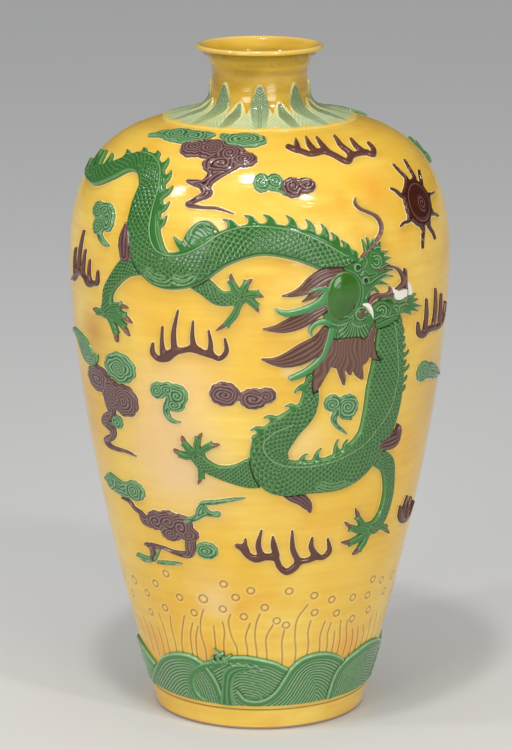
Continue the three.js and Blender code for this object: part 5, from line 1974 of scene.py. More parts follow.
@dataclass
class Flames:
    """Flames: a swinging foot with tapering tongues that stand up from it."""

    wall: WallLine
    rise: float = 2.4
    width: float = 4.9
    tip: float = 1.8

    drawn: dict = field(default_factory=lambda: {
        "flame_shoulder": (
            ((12.3, 461, 1), (14.5, 457.5, 1.1), (17, 455, 1), (20.2, 451.5, 1), (23.4, 453, 1.2),
             (26.6, 453.5, 1.2), (29.5, 449, 1), (33.6, 441.5, 1), (37.2, 446.5, 1), (41, 447.5, 0.9),
             (44.6, 448, 1), (47.4, 444.6, 1), (50.2, 449, 0.8), (51.3, 456.5, 0.4)),
            (((15.8, 457), (16.4, 464, 1), (17.2, 471)), ((22.8, 453), (22, 462, 1), (22.9, 473)),
             ((27.8, 453), (27.6, 462, 0.9), (28.2, 471.5)), ((37.6, 448), (36.2, 458, 1), (38.2, 471)),
             ((43.8, 448), (43.2, 455, 1), (44.6, 464)))),
        "flame_left": (
            ((-75.4, 338, 0.6), (-73, 340, 1), (-70, 344, 0.8), (-66.4, 347.5, 1.1), (-63.5, 345, 0.9),
             (-61, 341.5, 1.3), (-58, 342.5, 0.9), (-55.6, 344.5, 0.9), (-55, 353, 0.4)),
            (((-71.6, 344), (-71.6, 353, 0.8), (-70.8, 363)), ((-67.8, 348), (-67, 360, 1), (-65, 378)),
             ((-64.4, 347), (-63.8, 356, 0.8), (-62.8, 365)),
             ((-59.8, 343), (-60.2, 350, 0.8), (-59.6, 359)))),
        "flame_middle": (
            ((-33, 307.5, 0.5), (-33.2, 301, 0.9), (-31.4, 297, 0.9), (-28.6, 299, 1.6), (-25.6, 303.5, 1.2),
             (-22.4, 305.5, 0.9), (-19.6, 307, 1.2), (-16.6, 304.5, 1), (-14.2, 303, 0.9), (-11.8, 301, 0.8),
             (-9.8, 306, 0.8), (-10.1, 315.5, 0.4)),
            (((-29.6, 301), (-29.8, 310, 0.7), (-29.4, 321)), ((-25.8, 304), (-25.8, 317, 0.9), (-24.2, 334)),
             ((-19.5, 307), (-19.9, 316, 0.8), (-19.6, 327)),
             ((-14.6, 304), (-14.4, 312, 0.8), (-14.9, 321)))),
        "flame_low": (
            ((-8, 156.5, 0.8), (-6, 154.5, 1.2), (-4.2, 149, 1.1), (-1.2, 146, 1.2), (1.4, 147.5, 1.2),
             (4, 147.5, 1.1), (5.8, 146, 1), (7.4, 139, 1), (10, 135, 1.1), (13, 138.5, 1.2),
             (14.8, 142.5, 1), (18, 143.5, 0.9), (20.8, 145.5, 1.1), (23.6, 144.5, 0.8), (26, 149, 0.9),
             (25, 159, 0.4)),
            (((-5.2, 153), (-5.2, 157, 0.8), (-5, 162)), ((0.6, 148), (-0.5, 157, 1), (0.6, 169)),
             ((6, 149), (5, 157, 1.1), (4.6, 164)), ((14.2, 143), (12, 153, 1), (11.4, 168)),
             ((20.6, 147), (18.8, 154, 1), (18.9, 161.5)))),
        "flame_right": (
            ((54.2, 315, 0.5), (55, 308, 1), (57.6, 304.5, 1.1), (60, 307, 1.2), (63, 307, 1), (66, 306, 1),
             (70, 306, 1), (73, 309, 0.9), (74.6, 321, 0.5)),
            (((58.4, 307), (58.8, 319, 1), (58.2, 331)), ((64, 307), (64.8, 320, 1), (64, 336)),
             ((69.5, 307), (69.4, 318, 0.9), (69, 330)))),
        "flame_low_right": (
            ((59.8, 171, 0.5), (61, 164, 1.2), (64, 158.5, 1.2), (67, 156.5, 1.1), (70.4, 158.5, 1),
             (73.2, 168, 0.5)),
            (((63, 161), (63.2, 168, 1), (64.2, 177)), ((67.8, 158), (67.4, 166, 0.9), (68.4, 174)))),
    })

    def motifs(self) -> list[Motif]:
        """Each flame as one piece: a share of the full width at each stop of the foot and tongues.

        Returns:
            One motif for each flame.
        """
        made = []
        for name, (foot, tongues) in self.drawn.items():
            sheet = Sheet(self.wall, foot[0][1])
            shapes = [Stroke(sheet.stops([(a, b, share * self.width) for a, b, share in foot]),
                             self.rise, 1.3, 0.5)]
            for root, middle, end in tongues:
                stops = [(*root, 1.05 * self.width), (middle[0], middle[1], 0.9 * self.width * middle[2]),
                         (end[0], end[1], self.tip)]
                shapes.append(Stroke(sheet.stops(stops), self.rise, 1.3, 0.5))
            made.append(Motif(name, FLAME_BROWN, sheet, shapes, thin_edge=0.3, fillet=2.2))
        return made


@dataclass
class Clouds:
    """Scrolled clouds: scalloped lobes with incised spirals, and trails drawn out from them."""

    wall: WallLine
    rise: float = 2.5

    # For each cloud: its glaze, then lobes as turn, height and half-sizes, then trails as stops
    drawn: dict = field(default_factory=lambda: {
        "cloud_crown": (AUBERGINE, (
            (-28, 458, 6.5, 11), (-20, 457.5, 7.5, 11), (-12, 452, 7, 10), (-6, 447.5, 5.2, 7.5),
            (-14.5, 442, 7, 8.5)),
            (((-15, 436, 13), (-16.5, 430, 8), (-18.5, 424, 6), (-17, 418.5, 6.5), (-20.5, 413, 4),
              (-22.6, 409.5, 4), (-18, 408, 2.6), (-13.5, 408, 2.4), (-8, 404.5, 1)),
             ((-17.5, 425, 6), (-21, 425.5, 6), (-24.4, 426.5, 3)))),
        "cloud_crown_left": (WAVE_GREEN, ((-33, 470, 8, 9.5), (-43, 470.5, 9, 9)), (
            ((-58, 463, 3), (-51, 469, 11), (-43, 471, 18), (-34, 470, 18), (-27, 474, 12),
             (-24, 476, 4)),)),
        "cloud_crown_right": (WAVE_GREEN, ((-7, 470, 10.4, 10),),
                              (((-18.5, 475, 6), (-12, 471, 13), (-4, 470, 13)),)),
        "cloud_pair": (WAVE_GREEN, ((0.6, 427.5, 2.9, 7.6), (4.8, 428, 3, 6.6)),
                       (((4, 424, 6), (6.6, 421.5, 3.5), (7.8, 418, 1.4)),)),
        "cloud_pair_brown": (AUBERGINE, ((10.6, 423.4, 3.6, 8), (15, 424.4, 3.6, 6.2)), ()),
        "cloud_upper": (WAVE_GREEN, ((-58.3, 396, 3.2, 6.6), (-54, 397, 3.4, 6), (-51.8, 391, 2.8, 9),
                                     (-56.4, 385, 3, 7)),
                        (((-56, 383, 7), (-54.4, 377, 5), (-51.8, 373.5, 4.4), (-50.4, 373, 2)),)),
        "cloud_cluster": (AUBERGINE, ((-59.4, 271, 7.2, 10.5), (-52, 262, 5.4, 12), (-46.2, 260, 5.8, 12.4)),
                          (((-54, 255, 14), (-54, 247, 8), (-58, 241, 8.5), (-59.6, 238, 6),
                            (-54.5, 233.5, 8), (-55.6, 228.5, 6), (-60.2, 222.8, 6), (-58, 219.6, 4.2),
                            (-52, 219.4, 3.2), (-48, 219.6, 2.4), (-44.3, 218, 1)),)),
        "cloud_cluster_ball": (WAVE_GREEN, ((-47.2, 284.6, 7.0, 11.6),), ()),
        "cloud_cluster_wisp": (WAVE_GREEN, (), (
            ((-79, 299, 3), (-73, 297.5, 8), (-67, 290, 19), (-62.5, 285.5, 14), (-59.6, 286, 7),
             (-58, 289.5, 2)),)),
        "cloud_cluster_bud": (WAVE_GREEN, ((-51.2, 241.6, 2.6, 5.4),),
                              (((-50, 243, 6), (-53.5, 239.5, 4), (-55.6, 239, 1.6)),)),
        "cloud_middle": (WAVE_GREEN, ((-32.2, 273, 2.9, 6.6), (-28.8, 275, 2.6, 5.4), (-25.6, 271, 3.6, 8.6),
                                      (-26.4, 264, 3.2, 6)),
                         (((-28, 266, 9), (-29.8, 259, 6), (-28.8, 252.6, 4), (-27, 250.6, 3),
                           (-25.2, 250.8, 1.4)),)),
        "cloud_twin": (AUBERGINE, ((-10.6, 274.6, 4.7, 9.3), (-1.9, 271.6, 4.4, 8), (2, 274, 3, 6.2)), ()),
        "cloud_in_loop": (WAVE_GREEN, ((22.4, 266, 2.8, 6.6), (27.6, 262, 3.8, 9.6)),
                          (((25, 265, 9), (24, 259, 5), (23.2, 254, 5), (24.4, 248.5, 3.8), (26.4, 244.5, 3),
                            (28.2, 241, 1.2)),
                           ((27, 255, 6), (29, 252.6, 3))),),
        "cloud_streak": (WAVE_GREEN, ((-61.5, 190, 4.6, 7), (-47.6, 189.5, 5, 8)),
                         (((-66.4, 190.5, 4), (-60, 189.5, 13), (-54, 187.5, 13), (-47, 190, 13)),)),
        "cloud_low": (AUBERGINE, ((-39, 169.5, 4.4, 8), (-33.6, 170.5, 5, 9), (-28.4, 168, 4.6, 10),
                                  (-33, 161.5, 4.6, 6.6), (-25.6, 162.4, 3.8, 6)),
                      (((-56, 180, 2), (-51.5, 179, 3), (-49.2, 174.8, 3), (-46.5, 172.5, 4.6),
                        (-44.4, 167.5, 9), (-40, 167, 10)),
                       ((-25.4, 160, 9), (-25.8, 151, 9), (-26.6, 146.4, 7), (-32, 145.8, 4),
                        (-38, 148, 2.6), (-43, 147, 5), (-46.8, 147.4, 2.4)),
                       ((-43.4, 146, 6), (-43.6, 139, 5), (-43.6, 136, 4)))),
        "cloud_low_wing": (WAVE_GREEN, (), (
            ((-26.5, 173, 5), (-22, 177.5, 5.4), (-20, 183, 9), (-19.2, 188.5, 5), (-14, 191, 3.6),
             (-9, 193.5, 3), (-4.8, 195, 1)),
            ((-19, 182, 7), (-16.6, 181, 4), (-14.4, 181.2, 5)))),
        "cloud_low_ball": (WAVE_GREEN, ((-19.3, 151, 4.3, 7.0),), ()),
        "cloud_low_wisp": (WAVE_GREEN, (), (
            ((-52.6, 136, 3.4), (-49, 134.6, 5.4), (-45.6, 135, 5)),
            ((-41.4, 134.6, 2.6), (-38, 135.6, 3.4), (-34, 136.6, 3), (-30, 137.6, 1)),
            ((-42.6, 137, 2.6), (-41, 142, 2.8), (-39.6, 145.6, 1.6)))),
        "cloud_right": (WAVE_GREEN, ((60.4, 276, 4, 8),), (
            ((60, 276, 10), (66, 274, 13), (71, 270, 10), (77, 266, 3)),)),
    })

    def motifs(self) -> list[Motif]:
        """Every cloud: those whose names begin with another's stand on the same piece of the frame.

        Returns:
            One motif for each cloud.
        """
        made = []
        for name, (glaze, lobes, trails) in self.drawn.items():
            level = lobes[0][1] if lobes else trails[0][0][1]
            sheet = Sheet(self.wall, level)
            rounds = [Lobe((turn * sheet.degree, up), wide * sheet.degree, tall,
                           rise=self.rise + 0.15 * (i % 3), edge=1.3, dome=0.4,
                           scallops=9 + 2 * (i % 2), scallop=0.07)
                      for i, (turn, up, wide, tall) in enumerate(lobes)]
            strips = [Stroke(sheet.stops(stops), self.rise - 0.1, 1.2, 0.4) for stops in trails]
            first = not any(name.startswith(f"{other}_") for other in self.drawn)
            made.append(Motif(name, glaze, sheet, [*rounds, *strips], [Rings(rounds, 2.2, 0.5)],
                              nodes=None if first else (), thin_edge=0.6 if glaze is WAVE_GREEN else 0.45,
                              step=0.61, fillet=1.4, lift=0.0 if first else 0.2))
        return made


# Girdles of waves and leaves


@dataclass
class Girdle:
    """A closed band right round the wall, with its lower edge level and its upper edge drawn."""

    name: str
    wall: WallLine
    bottom: float
    rise: float
    columns: int
    rows: int
    glaze: Glaze
    bevel: float = 1.6

    def top(self, turn: Array) -> Array:
        """Height of the upper edge at each turn.

        Args:
            turn: turns round the wall, in degrees.

        Returns:
            The heights on the drawing.
        """
        raise NotImplementedError

    def carve(self, turn: Array, up: Array, edge: Array) -> Cut:
        """What is cut at each place, given its distance from the upper edge.

        Args:
            turn: turns round the wall, in degrees.
            up: heights on the drawing.
            edge: how far each place lies below the upper edge.

        Returns:
            What is cut at each place.
        """
        raise NotImplementedError

    def warm(self, turn: Array, up: Array, edge: Array) -> Array:
        """How far the wall's yellow has run into the glaze at each place."""
        return np.zeros(turn.size)

    def make(self, material: Material) -> Object:
        """Builds the band: rows from the lower edge to the upper one, back down inside, closed round.

        Args:
            material: the glaze that dresses it.

        Returns:
            The finished band.
        """
        turns = np.linspace(-180.0, 180.0, self.columns, endpoint=False)
        top = self.top(turns)
        # Rows crowd at the lower and upper edges, where the bevel turns down to the wall
        shares = np.concatenate([[0.0, 0.004, 0.012, 0.022, 0.035],
                                 np.linspace(0.05, 0.97, self.rows), [0.979, 0.987, 0.994, 0.998, 1.0]])
        turn = np.tile(turns, len(shares))
        edge_up = np.tile(top, len(shares))
        up = self.bottom + np.repeat(shares, self.columns) * (edge_up - self.bottom)
        slope = np.abs(np.gradient(top, np.radians(turns) * self.wall.at(self.bottom)[0]))
        from_top = (edge_up - up) / np.hypot(1.0, np.tile(np.minimum(slope, 2.0), len(shares)))
        near = np.minimum(from_top, (up - self.bottom) * self.bevel)
        edge = rounded(near, 1.3)
        cut = self.carve(turn, up, from_top)
        off = (self.rise - cut.drop) * edge + RIM * (1 - edge)
        # Three rows lead back down inside
        inner = np.repeat(np.array([0.75, 0.5, 0.25]), self.columns)
        inner_up = self.bottom + inner * (np.tile(top, 3) - self.bottom)
        row = self.wall.length / self.wall.rows
        points = np.vstack([self.wall.place(turn, up * row, off),
                            self.wall.place(np.tile(turns, 3), inner_up * row, UNDERSIDE)])
        rings = len(shares) + 3
        here = np.arange(rings)[:, None] * self.columns
        after = np.roll(here, -1, axis=0)
        column = np.arange(self.columns)
        beside = (column + 1) % self.columns
        corners = np.stack([here + column, here + beside, after + beside, after + column], axis=-1)
        rest = np.zeros(3 * self.columns)
        numbers = {"pool": np.concatenate([cut.pool, rest]), "thin": np.concatenate([cut.thin, rest]),
                   "warm": np.concatenate([self.warm(turn, up, from_top), rest])}
        piece = Skin(points, corners.ravel(), np.full(rings * self.columns, 4), numbers).build(
            f"{self.name}_glazed", material, self.glaze.slot)
        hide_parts(self.name)
        LOG.info("%s: %d points", self.name, len(points))
        return piece


@dataclass
class WaveBand(Girdle):
    """Overlapping swells of water, combed with lines that keep their distance from each swell's edge."""

    brow: float = 5.6
    spacing: float = 2.3
    level: float = 45.0
    lowest: float = 38.0
    # Each swell's edge from its left foot over the crest, those on the right lying over the others
    edges: tuple = (
        ((-66, 18), (-46, 30), (-32, 43), (-25, 52), (-19, 59), (-14, 63.5), (-6.5, 64.8), (1, 62.5),
         (7, 59.5), (12.5, 54), (22, 46), (36, 36), (60, 18)),
        ((-101, 18), (-98, 42), (-91, 51), (-82, 53.5), (-71, 51.5), (-64, 46.5), (-58, 41), (-52, 30),
         (-49, 18)),
        ((-74, 18), (-68, 28), (-59.5, 40.5), (-52, 51.5), (-44.5, 58), (-36, 61), (-30, 59.5), (-25, 54),
         (-20, 40), (-17, 18)),
        ((-11, 36), (-9.5, 33), (-7, 28), (-2.5, 26.3), (2.5, 28), (7.2, 34), (11, 45), (14, 54), (18.5, 61),
         (24.5, 64), (30.5, 63.5), (36.5, 60), (44, 51.5), (51, 38), (56, 18)),
        ((35.4, 18), (36.2, 30), (37.2, 40), (39, 47), (43.5, 53.5), (50, 58), (57, 61), (68, 59.5),
         (82.5, 50), (91, 40), (97, 28), (100, 18)),
    )

    @cached_property
    def swells(self) -> list[Stroke]:
        """The edges of both faces' swells as smooth lines, in the order in which each lies over the last."""
        sheet = Sheet(self.wall, self.level)
        return [sheet.line([(turn + half, up) for turn, up in edge], per_span=7)
                for half in (-180.0, 0.0, 180.0) for edge in self.edges]

    def top(self, turn: Array) -> Array:
        """The highest swell at each turn.

        Args:
            turn: turns round the wall, in degrees.

        Returns:
            The heights on the drawing.
        """
        x = turn * Sheet(self.wall, self.level).degree
        tall = np.full(turn.size, self.lowest)
        for swell in self.swells:
            tall = np.maximum(tall, np.interp(x, swell.line[:, 0], swell.line[:, 1], left=0.0, right=0.0))
        return tall

    def carve(self, turn: Array, up: Array, edge: Array) -> Cut:
        """Pale ridges at even distances below each swell's plain brow, and a gully where it overlaps.

        Args:
            turn: turns round the wall, in degrees.
            up: heights on the drawing.
            edge: how far each place lies below the upper edge, not used.

        Returns:
            What is cut at each place.
        """
        x = turn * Sheet(self.wall, self.level).degree
        inset, gully = np.full(x.size, 30.0), np.zeros(x.size)
        for swell in self.swells:
            low, high = swell.line[0, 0], swell.line[-1, 0]
            part = np.flatnonzero((x > low - 2) & (x < high + 2))
            if not part.size:
                continue
            ceiling = np.interp(x[part], swell.line[:, 0], swell.line[:, 1], left=0.0, right=0.0)
            apart = np.abs(swell.locate(x[part], up[part])[1])
            under = up[part] < ceiling
            inset[part] = np.where(under, apart, inset[part])
            gully[part] = np.where(under, 0.0, np.maximum(gully[part], bell(apart, 1.0)))
        phase = (inset - self.brow) / self.spacing
        ridge = bell((phase - np.round(phase)) * self.spacing, 0.5)
        combed = way(inset, self.brow - 0.8, 0.5)
        lip = bell(inset - 0.9, 0.75)
        drop = (0.35 + 0.6 * (1 - ridge)) * combed + 0.9 * gully
        pool = np.maximum(0.62 * (1 - ridge) * combed, gully)
        return Cut(drop, pool, np.maximum(0.8 * ridge * combed, 0.9 * lip) * (1 - gully))


@dataclass
class LeafCollar(Girdle):
    """Upright leaves by turns long and short, with paired midribs and feathered veins."""

    leaves: int = 8
    long_tip: float = 540.0
    short_tip: float = 527.0
    long_fall: float = 0.16
    short_fall: float = 0.12
    # Half-widths of a leaf's body, how far below its tip it is full, and where the long leaf lies on top
    long_half: float = 7.4
    short_half: float = 5.4
    taper: float = 17.0
    on_top: float = 12.5
    vein: float = 2.2
    comb: float = 3.0

    def from_long(self, turn: Array) -> Array:
        """Degrees from the middle of the nearest long leaf."""
        pitch = 360.0 / self.leaves
        return np.mod(turn + pitch / 2, pitch) - pitch / 2

    def top(self, turn: Array) -> Array:
        """The higher of the long leaf and the short one between.

        Args:
            turn: turns round the wall, in degrees.

        Returns:
            The heights on the drawing.
        """
        near = self.from_long(turn)
        far = 180.0 / self.leaves - np.abs(near)
        return np.maximum(self.long_tip - self.long_fall * near**2, self.short_tip - self.short_fall * far**2)

    def warm(self, turn: Array, up: Array, edge: Array) -> Array:
        """Yellow over the ragged lower edge, and over the ground high up between the leaves.

        Args:
            turn: turns round the wall, in degrees.
            up: heights on the drawing.
            edge: how far each place lies below the upper edge, not used.

        Returns:
            The share of yellow at each place.
        """
        ragged = 2.2 + 1.6 * np.sin(np.radians(turn) * 16) + 1.1 * np.sin(np.radians(turn) * 37 + 1.0)
        low = 1 - way(up - self.bottom - ragged, 0.0, 4.0)
        high = way(up, 505.0, 14.0) * (1 - self.leaf(turn, up)[3])
        return np.minimum(0.9 * low + 0.45 * high, 1.0)

    def leaf(self, turn: Array, up: Array) -> tuple[Array, ...]:
        """At each place: distance below the leaf's tip, distance from its midrib, its half-width, its body.

        Args:
            turn: turns round the wall, in degrees.
            up: heights on the drawing.

        Returns:
            Those four numbers at each place, the body from 0 to 1.
        """
        near = self.from_long(turn)
        far = (180.0 / self.leaves - np.abs(near)) * np.sign(near)
        long_leaf = self.long_tip - self.long_fall * near**2 > self.short_tip - self.short_fall * far**2
        long_leaf |= np.abs(near) < self.on_top
        below = np.where(long_leaf, self.long_tip, self.short_tip) - up
        across = np.abs(np.radians(np.where(long_leaf, near, far)) * self.wall.at(up)[0])
        half = np.where(long_leaf, self.long_half, self.short_half) * way(below, 0.0, self.taper) ** 0.6
        half = half * np.clip(1.3 - below / 90.0, 0.4, 1.05)
        body = way(half - across, 0.5, 0.9) * way(below, 1.0, 2.0)
        return below, across, half, body

    def carve(self, turn: Array, up: Array, edge: Array) -> Cut:
        """Leaf bodies with slanting veins and a paired midrib, on a pale ground with veins drawn outward.

        Args:
            turn: turns round the wall, in degrees.
            up: heights on the drawing.
            edge: how far each place lies below the upper edge, not used.

        Returns:
            What is cut at each place.
        """
        below, across, half, body = self.leaf(turn, up)
        veins = 1 - trough((below + 0.75 * across) / self.vein)
        comb = 1 - trough((0.42 * below + across) / self.comb)
        ground = 1 - body
        rib = bell(across - 0.8, 0.4) * way(up, 487.0, 4.0)
        outline = bell(across - half, 0.5) * np.clip(1.6 - below / 34.0, 0.0, 1.0)
        fade = np.clip(1.45 - below / 40.0, 0.3, 1.0)
        drop = 0.5 * veins**2 * body + 0.2 * comb**3 * ground + 0.4 * rib
        pool = np.maximum((0.56 + 0.6 * veins**2) * body * fade,
                          np.maximum(0.9 * rib, 0.3 * comb**4 * ground))
        thin = (1 - veins) ** 4 * 0.3 * body * fade + 0.3 * ground * (1 - comb) + 0.55 * outline
        return Cut(drop, pool, thin)


@dataclass
class Breaker:
    """The breaking wave before the band: a curled lip of water, its column, its spray and its foam."""

    wall: WallLine
    bottom: float
    level: float = 45.0
    rise: float = 3.7
    curl: tuple = ((-15, 59, 3), (-18, 57.6, 4), (-22.5, 56, 4.6), (-27, 52.6, 5), (-31.5, 46.5, 5.4),
                   (-34, 38.6, 5.6), (-33.4, 30, 5.2), (-31, 25, 4.4), (-28, 23.6, 2))
    column: tuple = ((-16, 22, 14), (-15.8, 32, 10), (-15, 42, 9.5), (-13.4, 50, 11), (-9.5, 54.5, 8),
                     (-5, 55.5, 4))
    spray: tuple = (((-17, 57), (-18.8, 62), (-18.4, 66), (-20.4, 68.6)), ((-18, 63.6), (-16.4, 66)),
                    ((-14.8, 58), (-14.6, 62.4), (-12.8, 65)), ((-16, 58), (-16.2, 62.6)),
                    ((-20, 57.4), (-21.6, 60.4), (-20.8, 62.4)))
    foam: tuple = (((-13, 59), (-11.4, 56.4), (-9.6, 59.2), (-7.8, 56), (-5.8, 58.6), (-4, 55.6),
                    (-1.8, 57.4), (0.6, 54), (2.6, 54.6)),
                   ((-11, 52), (-8.6, 54), (-6.4, 51.6), (-4, 53.6), (-1.4, 51.6)))
    ripples: tuple = ((-29.6, -20.6), (-8.6, 6.4))

    def motif(self) -> Motif:
        """The breaker as one raised piece, cut off level at the band's lower edge.

        Returns:
            The breaker's motif.
        """
        sheet = Sheet(self.wall, self.level)
        curl = Stroke(sheet.stops(self.curl), self.rise, 1.2, 0.6)
        column = Stroke(sheet.stops(self.column), self.rise - 0.2, 1.2, 0.5)
        spray = [Stroke(sheet.stops([(a, b, 3.2 - 0.6 * i) for i, (a, b) in enumerate(line)]), self.rise, 0.9)
                 for line in self.spray]
        foam = [sheet.line(line, 1.5, rise=self.rise, edge=0.7) for line in self.foam]
        ripples = [Stroke(sheet.stops([(start, up, 0.9), (0.5 * (start + end), up + 0.9, 1.0),
                                       (end, up, 0.9)]), self.rise - 0.7, 0.6)
                   for start, end in self.ripples for up in np.arange(27.0, 50.0, 3.3)]
        return Motif("wave_breaker", WAVE_GREEN, sheet, [curl, column, *spray, *foam, *ripples],
                     [Striae([column], 3.0, 0.25)], nodes=(), thin_edge=0.7, step=0.4, fillet=0.6,
                     floor=self.bottom + 0.4, fringe=0.0)


# The wall


@dataclass
class Engraving:
    """Bubbles and reeds scratched in the clay above the waves."""

    wall: WallLine
    level: float = 95.0
    sunk: float = 14.0
    # Radius of a bubble, and the height at which they are larger by a share
    bubble: float = 2.6
    large_up: float = 110.0
    larger: float = 1.25
    bubbles: tuple = (
        (-39, 126), (-46, 115), (-34, 108), (-23, 110), (-14, 124), (-9.5, 113.5), (-3.5, 119.5), (-15, 103),
        (-28, 97), (-43, 96), (-53, 104), (-6.5, 97.5), (2, 105.5), (7, 94), (11, 90), (11.5, 118.5),
        (22, 113), (23, 98.5), (30.2, 107.5), (41, 105.5), (33.6, 95), (50, 103.5), (51.5, 116), (53, 90),
        (43, 87), (-53.5, 88), (58.5, 112), (-62, 110), (-68, 96), (64, 100), (70, 110), (-76, 106), (77, 96))
    reeds: tuple = (
        ((-41, 68), (-41.5, 78), (-41, 90)), ((-37, 68), (-35.4, 80), (-33, 93)),
        ((-31.8, 68), (-31.3, 78), (-29.4, 88)), ((-29.4, 63), (-28.8, 75), (-27, 86)),
        ((-24.8, 67), (-26, 80), (-25.2, 92), (-23.4, 101)), ((-19.6, 76), (-19.6, 88)),
        ((-15.8, 74), (-15, 84), (-15.6, 92)), ((-10, 70), (-12, 80), (-13, 92), (-12, 99)),
        ((-5.4, 70), (-6, 80), (-4, 92)), ((-1.2, 66), (-2, 80), (-1.4, 92), (0, 100)),
        ((3.2, 64), (2.8, 80), (5.6, 91)), ((10.2, 62), (9.6, 76), (10.4, 86)),
        ((16.2, 66), (15.2, 80), (15.6, 94), (19.6, 106)), ((21.8, 72), (21, 82), (21.6, 92)),
        ((27.6, 67), (27, 78), (28.4, 90)), ((31.4, 69), (30.6, 78), (31.6, 88)), ((34.6, 69), (34.2, 79)),
        ((38, 70), (37, 80), (36.6, 88)), ((42, 70), (40.6, 80), (40.4, 87)), ((46, 68), (44.6, 78)),
        ((49.6, 68), (48, 78)), ((53.6, 70), (51.6, 78)), ((-46, 66), (-46.6, 78), (-48, 90)),
        ((-50, 66), (-51, 76)), ((-55, 64), (-56.4, 78)), ((-60, 66), (-62, 80)), ((-66, 66), (-67, 78)),
        ((-72, 68), (-73, 82)), ((58, 70), (57, 82)), ((63, 70), (62, 84)), ((69, 68), (68, 80)),
        ((75, 66), (74.6, 80)), ((81, 66), (80, 78)), ((-79, 66), (-79.6, 80)), ((-86, 66), (-85, 80)))

    def carve(self, turn: Array, tape: Array) -> Cut:
        """Rings at a set distance from each bubble's centre, and reeds as thin bell-shaped grooves.

        Args:
            turn: turns round the wall, in degrees.
            tape: distances of tape up the wall, in millimetres.

        Returns:
            What is cut at each place.
        """
        sheet = Sheet(self.wall, self.level)
        half = np.mod(turn + 90.0, 180.0) - 90.0
        x = half * sheet.degree
        groove = np.zeros(turn.size)
        pale = np.zeros(turn.size)
        for middle, up in self.bubbles:
            distance = np.hypot(x - middle * sheet.degree, tape - up)
            size = self.bubble * (self.larger if up == self.large_up else 1.0)
            groove = np.maximum(groove, bell(distance - size, 0.52))
            pale = np.maximum(pale, np.maximum(bell(distance, 1.2), 0.6 * bell(distance - size - 1.2, 0.5)))
        for drawn in self.reeds:
            foot = (drawn[0][0] - 0.2, drawn[0][1] - self.sunk)
            apart = -deepest([sheet.line((foot, *drawn))], x, tape)
            groove = np.maximum(groove, 0.9 * bell(apart, 0.5))
            pale = np.maximum(pale, 0.5 * bell(apart - 1.3, 0.5))
        return Cut(0.55 * groove, groove, pale)


@dataclass
class Ring:
    """One turned ring: radii and heights in millimetres, its count of points, and its glaze."""

    radius: Array | float
    height: Array | float
    count: int
    pool: Array | float = 0.0
    thin: Array | float = 0.0
    bare: float = 0.0

    def points(self) -> Array:
        """Its points in metres, from half a turn behind the back onward.

        Returns:
            One point in each row.
        """
        turn = np.radians(np.arange(self.count) * 360.0 / self.count - 180.0)
        radius = np.broadcast_to(self.radius, self.count)
        return np.column_stack([radius * np.sin(turn), -radius * np.cos(turn),
                                np.broadcast_to(self.height, self.count)]) * MM

    def spread(self, value: Array | float) -> Array:
        """A number for each point."""
        return np.broadcast_to(value, self.count)


